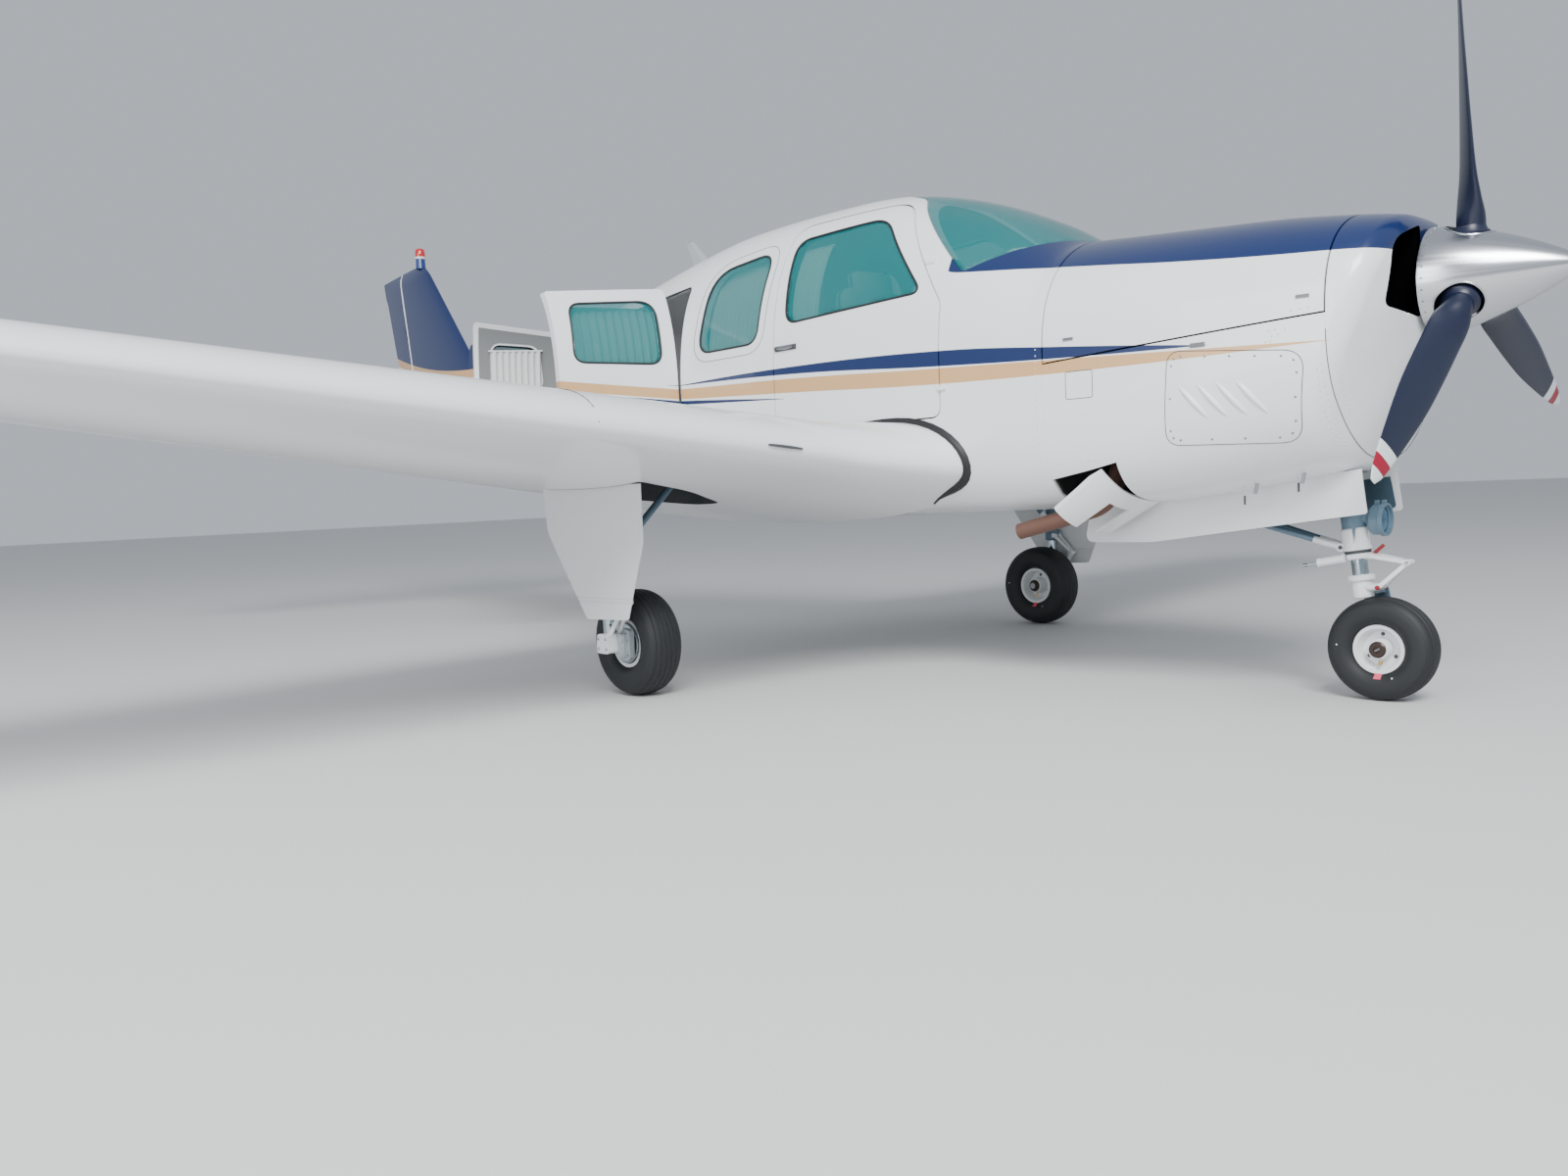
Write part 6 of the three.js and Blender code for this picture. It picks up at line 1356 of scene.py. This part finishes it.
def cushion(name, centre, size, crown, lean=0.0):
    """Stuffed pad: a cube's grid drawn towards a rounded box by a power of six, its faces crowned by the
    product of two parabolas and its sides drawn in between the corners; piping runs round its edge."""
    n = 14
    t = np.linspace(-1, 1, n + 1)
    u, v = (w.reshape(-1) for w in np.meshgrid(t, t, indexing="ij"))
    one = np.ones_like(u)
    sides = ((u, v, one), (u, v, -one), (u, one, v), (u, -one, v), (one, u, v), (-one, u, v))
    points = np.concatenate([np.stack(p, -1) for p in sides])
    points /= (np.abs(points) ** 6).sum(1, keepdims=True) ** (1 / 6)
    i, j = np.meshgrid(np.arange(n), np.arange(n), indexing="ij")
    a = (i * (n + 1) + j).reshape(-1)
    quad = np.stack([a, a + 1, a + n + 2, a + n + 1], 1)
    faces = np.concatenate([quad + k * (n + 1) ** 2 for k in range(6)])
    turn = np.linspace(0, 2 * np.pi, 97)[:-1]
    round_it = np.stack([np.cos(turn), np.sin(turn), 0 * turn], -1)
    round_it /= (np.abs(round_it) ** 6).sum(1, keepdims=True) ** (1 / 6)

    def formed(p):
        """Points of the rounded box with the crown and the drawn-in sides."""
        middle = (1 - p[:, 0] ** 2) * (1 - p[:, 1] ** 2)
        drawn = 1 - 0.035 * np.stack([1 - p[:, 1] ** 2, 1 - p[:, 0] ** 2], -1)
        shape = np.concatenate([p[:, :2] * drawn, p[:, 2:] * (1 - crown + crown * middle[:, None])], 1)
        return shape * np.array(size) / 2

    pad = new_piece(name, formed(points), faces.tolist(), seat_cloth, sharp=80)
    bm = bmesh.new()
    bm.from_mesh(pad.data)
    bmesh.ops.remove_doubles(bm, verts=bm.verts, dist=1e-5)
    bmesh.ops.recalc_face_normals(bm, faces=bm.faces)
    bm.to_mesh(pad.data)
    bm.free()
    pad.data.shade_smooth()
    edge = strip(formed(round_it), 0.005, piping, name + "_piping", closed=True)
    place = Matrix.Translation(centre) @ Matrix.Rotation(math.radians(lean), 4, "Y")
    for piece in (pad, edge):
        piece.data.transform(place)
    return pad


SEAT_ROWS = (   # row, front edge, depth, top, distance from the middle, half width
    ("front", 1.860, 0.470, 1.760, 0.255, 0.215), ("middle", 0.900, 0.460, 1.720, 0.240, 0.195),
    ("rear", 0.060, 0.430, 1.640, 0.225, 0.195))
for row, front, depth, top, aside, half in SEAT_ROWS:
    for side in (-1, 1):
        name = f"seat_{row}_{side}"
        seat = cushion(name, (front - depth / 2 + 0.02, side * aside, 1.255),
                       (depth - 0.04, 2 * half, 0.12), 0.25)
        rear = front - depth
        cushion(name + "_back", (rear + 0.035, side * aside, (1.30 + top) / 2 - 0.03),
                (top - 1.33, 2 * half, 0.11), 0.25, -97)
        block(name + "_base", (rear + 0.06, side * aside - half + 0.04, 1.0105),
              (front - 0.06, side * aside + half - 0.04, 1.20), dial_black)
        if row != "rear":
            cushion(name + "_head", (rear + 0.02, side * aside, top - 0.045), (0.15, 0.26, 0.09), 0.3, -97)
    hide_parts(f"seats_{row}")

# Curtains: pleated cloth on rails inside the windows, and grey pressed panels inside the cargo doors.
# They ride on the wall or the door that carries them.
curtain_teal = finish_of("curtain_teal", (0.62, 0.78, 0.74), 0.9)
curtain_grey = finish_of("curtain_grey", (0.68, 0.72, 0.70), 0.9)
inner_panel = finish_of("inner_panel", (0.20, 0.21, 0.21), 0.7)


def curtain(name, rear, front, low, high, pleats, deep, material, body="airframe", hinge=None, degrees=0):
    """Pleated cloth 1 mm thick: its folds are a sine along the wall, whose length is the flat width."""
    share, rise = np.linspace(0, 1, pleats * 14 + 1), np.linspace(0, 1, 12)
    x = rear + (front - rear) * share
    z = low + (high - low) * rise
    wave = deep * np.sin(2 * np.pi * pleats * share)
    base = on_side(*np.meshgrid(x, z), -1, -0.056)
    base[..., 1] += wave[None]
    both = np.concatenate([base, base + [0, 0.001, 0]])
    rows, columns = base.shape[:2]
    cloth = new_piece(name, both, two_faced(rows, columns), material, sharp=60, body=body)
    ends = np.linspace(rear - 0.01, front + 0.01, 20)
    rail = strip(on_side(ends, high + 0.004, -1, -0.056), 0.004, gear_white, name + "_rail", body=body)
    hooks = on_side(np.linspace(rear, front, pleats + 1), high, -1, -0.050)
    knobs = studs(name + "_hooks", hooks, (0, -1, 0), 0.005, 0.004, gear_white, body)
    if hinge:
        for piece in (cloth, rail, knobs):
            opened(piece, hinge, degrees)


curtain("curtain_middle", 0.53, 0.965, 1.50, 1.93, 13, 0.008, curtain_grey)
curtain("curtain_cabin_door", 1.12, 1.30, 1.575, 1.95, 8, 0.011, curtain_teal, "cabin_door")
hinges = {name: (hinge, degrees) for name, _, _, _, hinge, degrees in DOORS}
curtain("curtain_cargo_front", -0.19, 0.30, 1.465, 1.78, 11, 0.008, curtain_teal, "cargo_door_front",
        *hinges["cargo_door_front"])
curtain("curtain_cargo_rear", -0.64, -0.365, 1.465, 1.69, 8, 0.008, curtain_grey, "cargo_door_rear",
        *hinges["cargo_door_rear"])
for name, _, edge_line, window_line, hinge, degrees in DOORS[1:]:
    stations = [c[0] for c in edge_line]
    panel = barrel(name + "_inner", min(stations), max(stations), 0.005, inner_panel, 0.0402, name)
    carve(panel, prism("cutter", rounded(edge_line, -0.025), *RIGHT, "y", inner_panel), "INTERSECT")
    carve(panel, prism("cutter", rounded(window_line, 0.012), *RIGHT, "y", inner_panel))
    follow_skin(panel)
    opened(panel, hinge, degrees)

# Small parts of the cabin and tail: door handles and hinges, the middle window's frame, the seals of the door
# openings, and the beacon on the fin with its blue base, white ring and red glass.
red_lens = finish_of("red_lens", (0.55, 0.01, 0.012), 0.08, coat=1.0)
# The beacon's base is a lighter copy of the blue paint, with the sun's light on the fin painted in.
sunlit_blue = finish_of("sunlit_blue", (0.008, 0.04, 0.20), 0.25, coat=0.5)
handle = on_side(np.linspace(1.10, 1.215, 9), 1.467, -1, 0.006)
strip(handle, 0.009 * np.sin(np.pi * np.linspace(0.12, 0.88, 9)) ** 0.5, screw_steel, "cabin_door_handle",
      sides=12, body="cabin_door")
# Round the handle a dark patch on the door is painted shade, standing for its recess.
strip(on_side(np.linspace(1.09, 1.225, 9), 1.467, -1, -0.0005), 0.0125, seam_dark, "cabin_handle_shade",
      sides=12, body="cabin_door")
cargo_handle = strip(on_side(np.linspace(-0.20, -0.06, 9), 1.24, -1, 0.004),
                     0.011 * np.linspace(0.5, 1.2, 9), skin_paint, "cargo_door_handle", sides=12,
                     body="cargo_door_front")
opened(cargo_handle, *hinges["cargo_door_front"])
for k, z in enumerate((1.20, 1.72)):
    x = 2.052 if z < 1.54 else 1.955
    plate = on_side([x - 0.012, x + 0.03], z, -1, 0.001)
    strip(plate, 0.010, skin_paint, f"cabin_hinge_{k}", sides=12)
strip(skin_line(MID_WINDOW, -1, 0.0, 0.045), 0.0014, seam_dark, "middle_frame_seam", closed=True)
CARGO_OPENING = [(0.372, 1.12, 0.03), (0.372, 1.878, 0.03), (-0.80, 1.768, 0.03), (-0.80, 1.12, 0.03)]
strip(skin_line(CARGO_OPENING, -1, -0.006), 0.003, seal_rubber, "door_opening_seal", closed=True)
place = on_side([3.112, 3.162], 1.244, -1, 0.001)
strip(place, 0.008, screw_steel, "cowl_plate", sides=4)
BEACON = (-3.480, 0, 2.640)
beacon_base = [(0.037, 0.0), (0.034, 0.070), (0.030, 0.072)]
turned("beacon_base", beacon_base, BEACON, (0, 0, 1), sunlit_blue, 48)
turned("beacon_ring", [(0.036, 0.070), (0.042, 0.073), (0.042, 0.084), (0.037, 0.089)], BEACON, (0, 0, 1),
       gear_white, 48)
lens = [(0.037, 0.087), (0.038, 0.092), (0.036, 0.130), (0.031, 0.145), (0.020, 0.152), (0.001, 0.154)]
glass_dome = turned("beacon_lens", lens, BEACON, (0, 0, 1), red_lens, 48)
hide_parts("beacon")

# Small parts of the wing: skin seams, a stall strip on each leading edge, the rubber seal round the root
# glove, a recessed light slot and the drain under the tank.
for place, side in SIDES:
    for k, y in enumerate((2.10, 4.86)):
        top = [wing_point(y, share, side, True)[0] + [0, 0, 0.0004] for share in np.linspace(0.70, 0.0, 40)]
        strip(np.array(top), 0.0016, seam_dark, f"wing_seam_{place}_{k}")
    edge = [wing_point(y, 0.0, side)[0] + [0.003, 0, -0.004] for y in np.linspace(1.24, 1.40, 8)]
    strip(np.array(edge), 0.007 * np.sin(np.pi * np.linspace(0.1, 0.9, 8)) ** 0.4, seam_dark,
          f"stall_strip_{place}", sides=3)
    rows = np.array([wing_ring(y, side) for y in np.linspace(0.10, 0.80, 141)])
    deep = skin_depth(rows)
    cross = np.argmax(deep < 0, axis=0)
    column = np.arange(rows.shape[1])
    before, after = deep[cross - 1, column], deep[cross, column]
    share = (before / (before - after))[:, None]
    line = rows[cross - 1, column] * (1 - share) + rows[cross, column] * share
    line = line[(line[:, 0] > 1.05) & (cross > 0)]
    line = line[np.argsort(np.arctan2(line[:, 2] - 0.93, line[:, 0] - 1.0))]
    size = 0.004 + 0.021 * np.clip((line[:, 0] - 1.2) / 0.7, 0, 1)
    size = size * np.clip(np.linalg.norm(line - line[0], axis=1) / 0.2, 0.25, 1)
    line = line - 0.4 * size[:, None] * outward(line)
    strip(line, size, seal_rubber, f"root_seal_{place}", sides=10)
    slot_line = np.linspace([1.815, side * 0.559, 0.950], [1.905, side * 0.553, 0.926], 9)
    strip(slot_line, 0.011 * np.sin(np.pi * np.linspace(0.12, 0.88, 9)) ** 0.3, seam_dark,
          f"root_slot_{place}", sides=12)
    rod(f"tank_drain_{place}", (1.30, side * 0.62, 0.72), (1.30, side * 0.62, 0.80), (0.008, 0.012), 16,
        screw_steel)

# Studio: a pale floor that runs far out, soft light from above and from the right, and the camera low ahead
# of the right wing, where the photograph was taken from.
floor = new_piece("floor", [(-60, -60, 0), (60, -60, 0), (60, 60, 0), (-60, 60, 0)], [(0, 1, 2, 3)],
                  finish_of("floor", (0.62, 0.62, 0.61), 0.7), body=None)
world = bpy.data.worlds.new("world")
world.use_nodes = True
world.node_tree.nodes["Background"].inputs["Color"].default_value = (0.80, 0.86, 0.95, 1)
world.node_tree.nodes["Background"].inputs["Strength"].default_value = 0.65
bpy.context.scene.world = world
for name, place, aim, size, power in (("key", (9, -7, 9), (1, 0, 1), 5, 2200),
                                      ("fill", (2, -12, 4), (0, -1, 1), 7, 700)):
    light = bpy.data.objects.new(name, bpy.data.lights.new(name, "AREA"))
    light.data.size = size
    light.data.energy = power
    light.location = place
    light.rotation_euler = (Vector(aim) - Vector(place)).to_track_quat("-Z", "Y").to_euler()
    bpy.context.scene.collection.objects.link(light)
camera = bpy.data.objects.new("camera", bpy.data.cameras.new("camera"))
bpy.context.scene.collection.objects.link(camera)
camera.data.lens = 27.37
camera.data.sensor_width = 36
camera.data.clip_end = 200
yaw, pitch, roll = math.radians(47.45), math.radians(-4.48), math.radians(-2.5)
turn = Matrix.Rotation(yaw, 4, "Z") @ Matrix.Rotation(math.pi / 2 + pitch, 4, "X")
turn = turn @ Matrix.Rotation(roll, 4, "Z")
camera.matrix_world = Matrix.Translation((5.158, -4.3122, 0.8043)) @ turn
bpy.context.scene.camera = camera
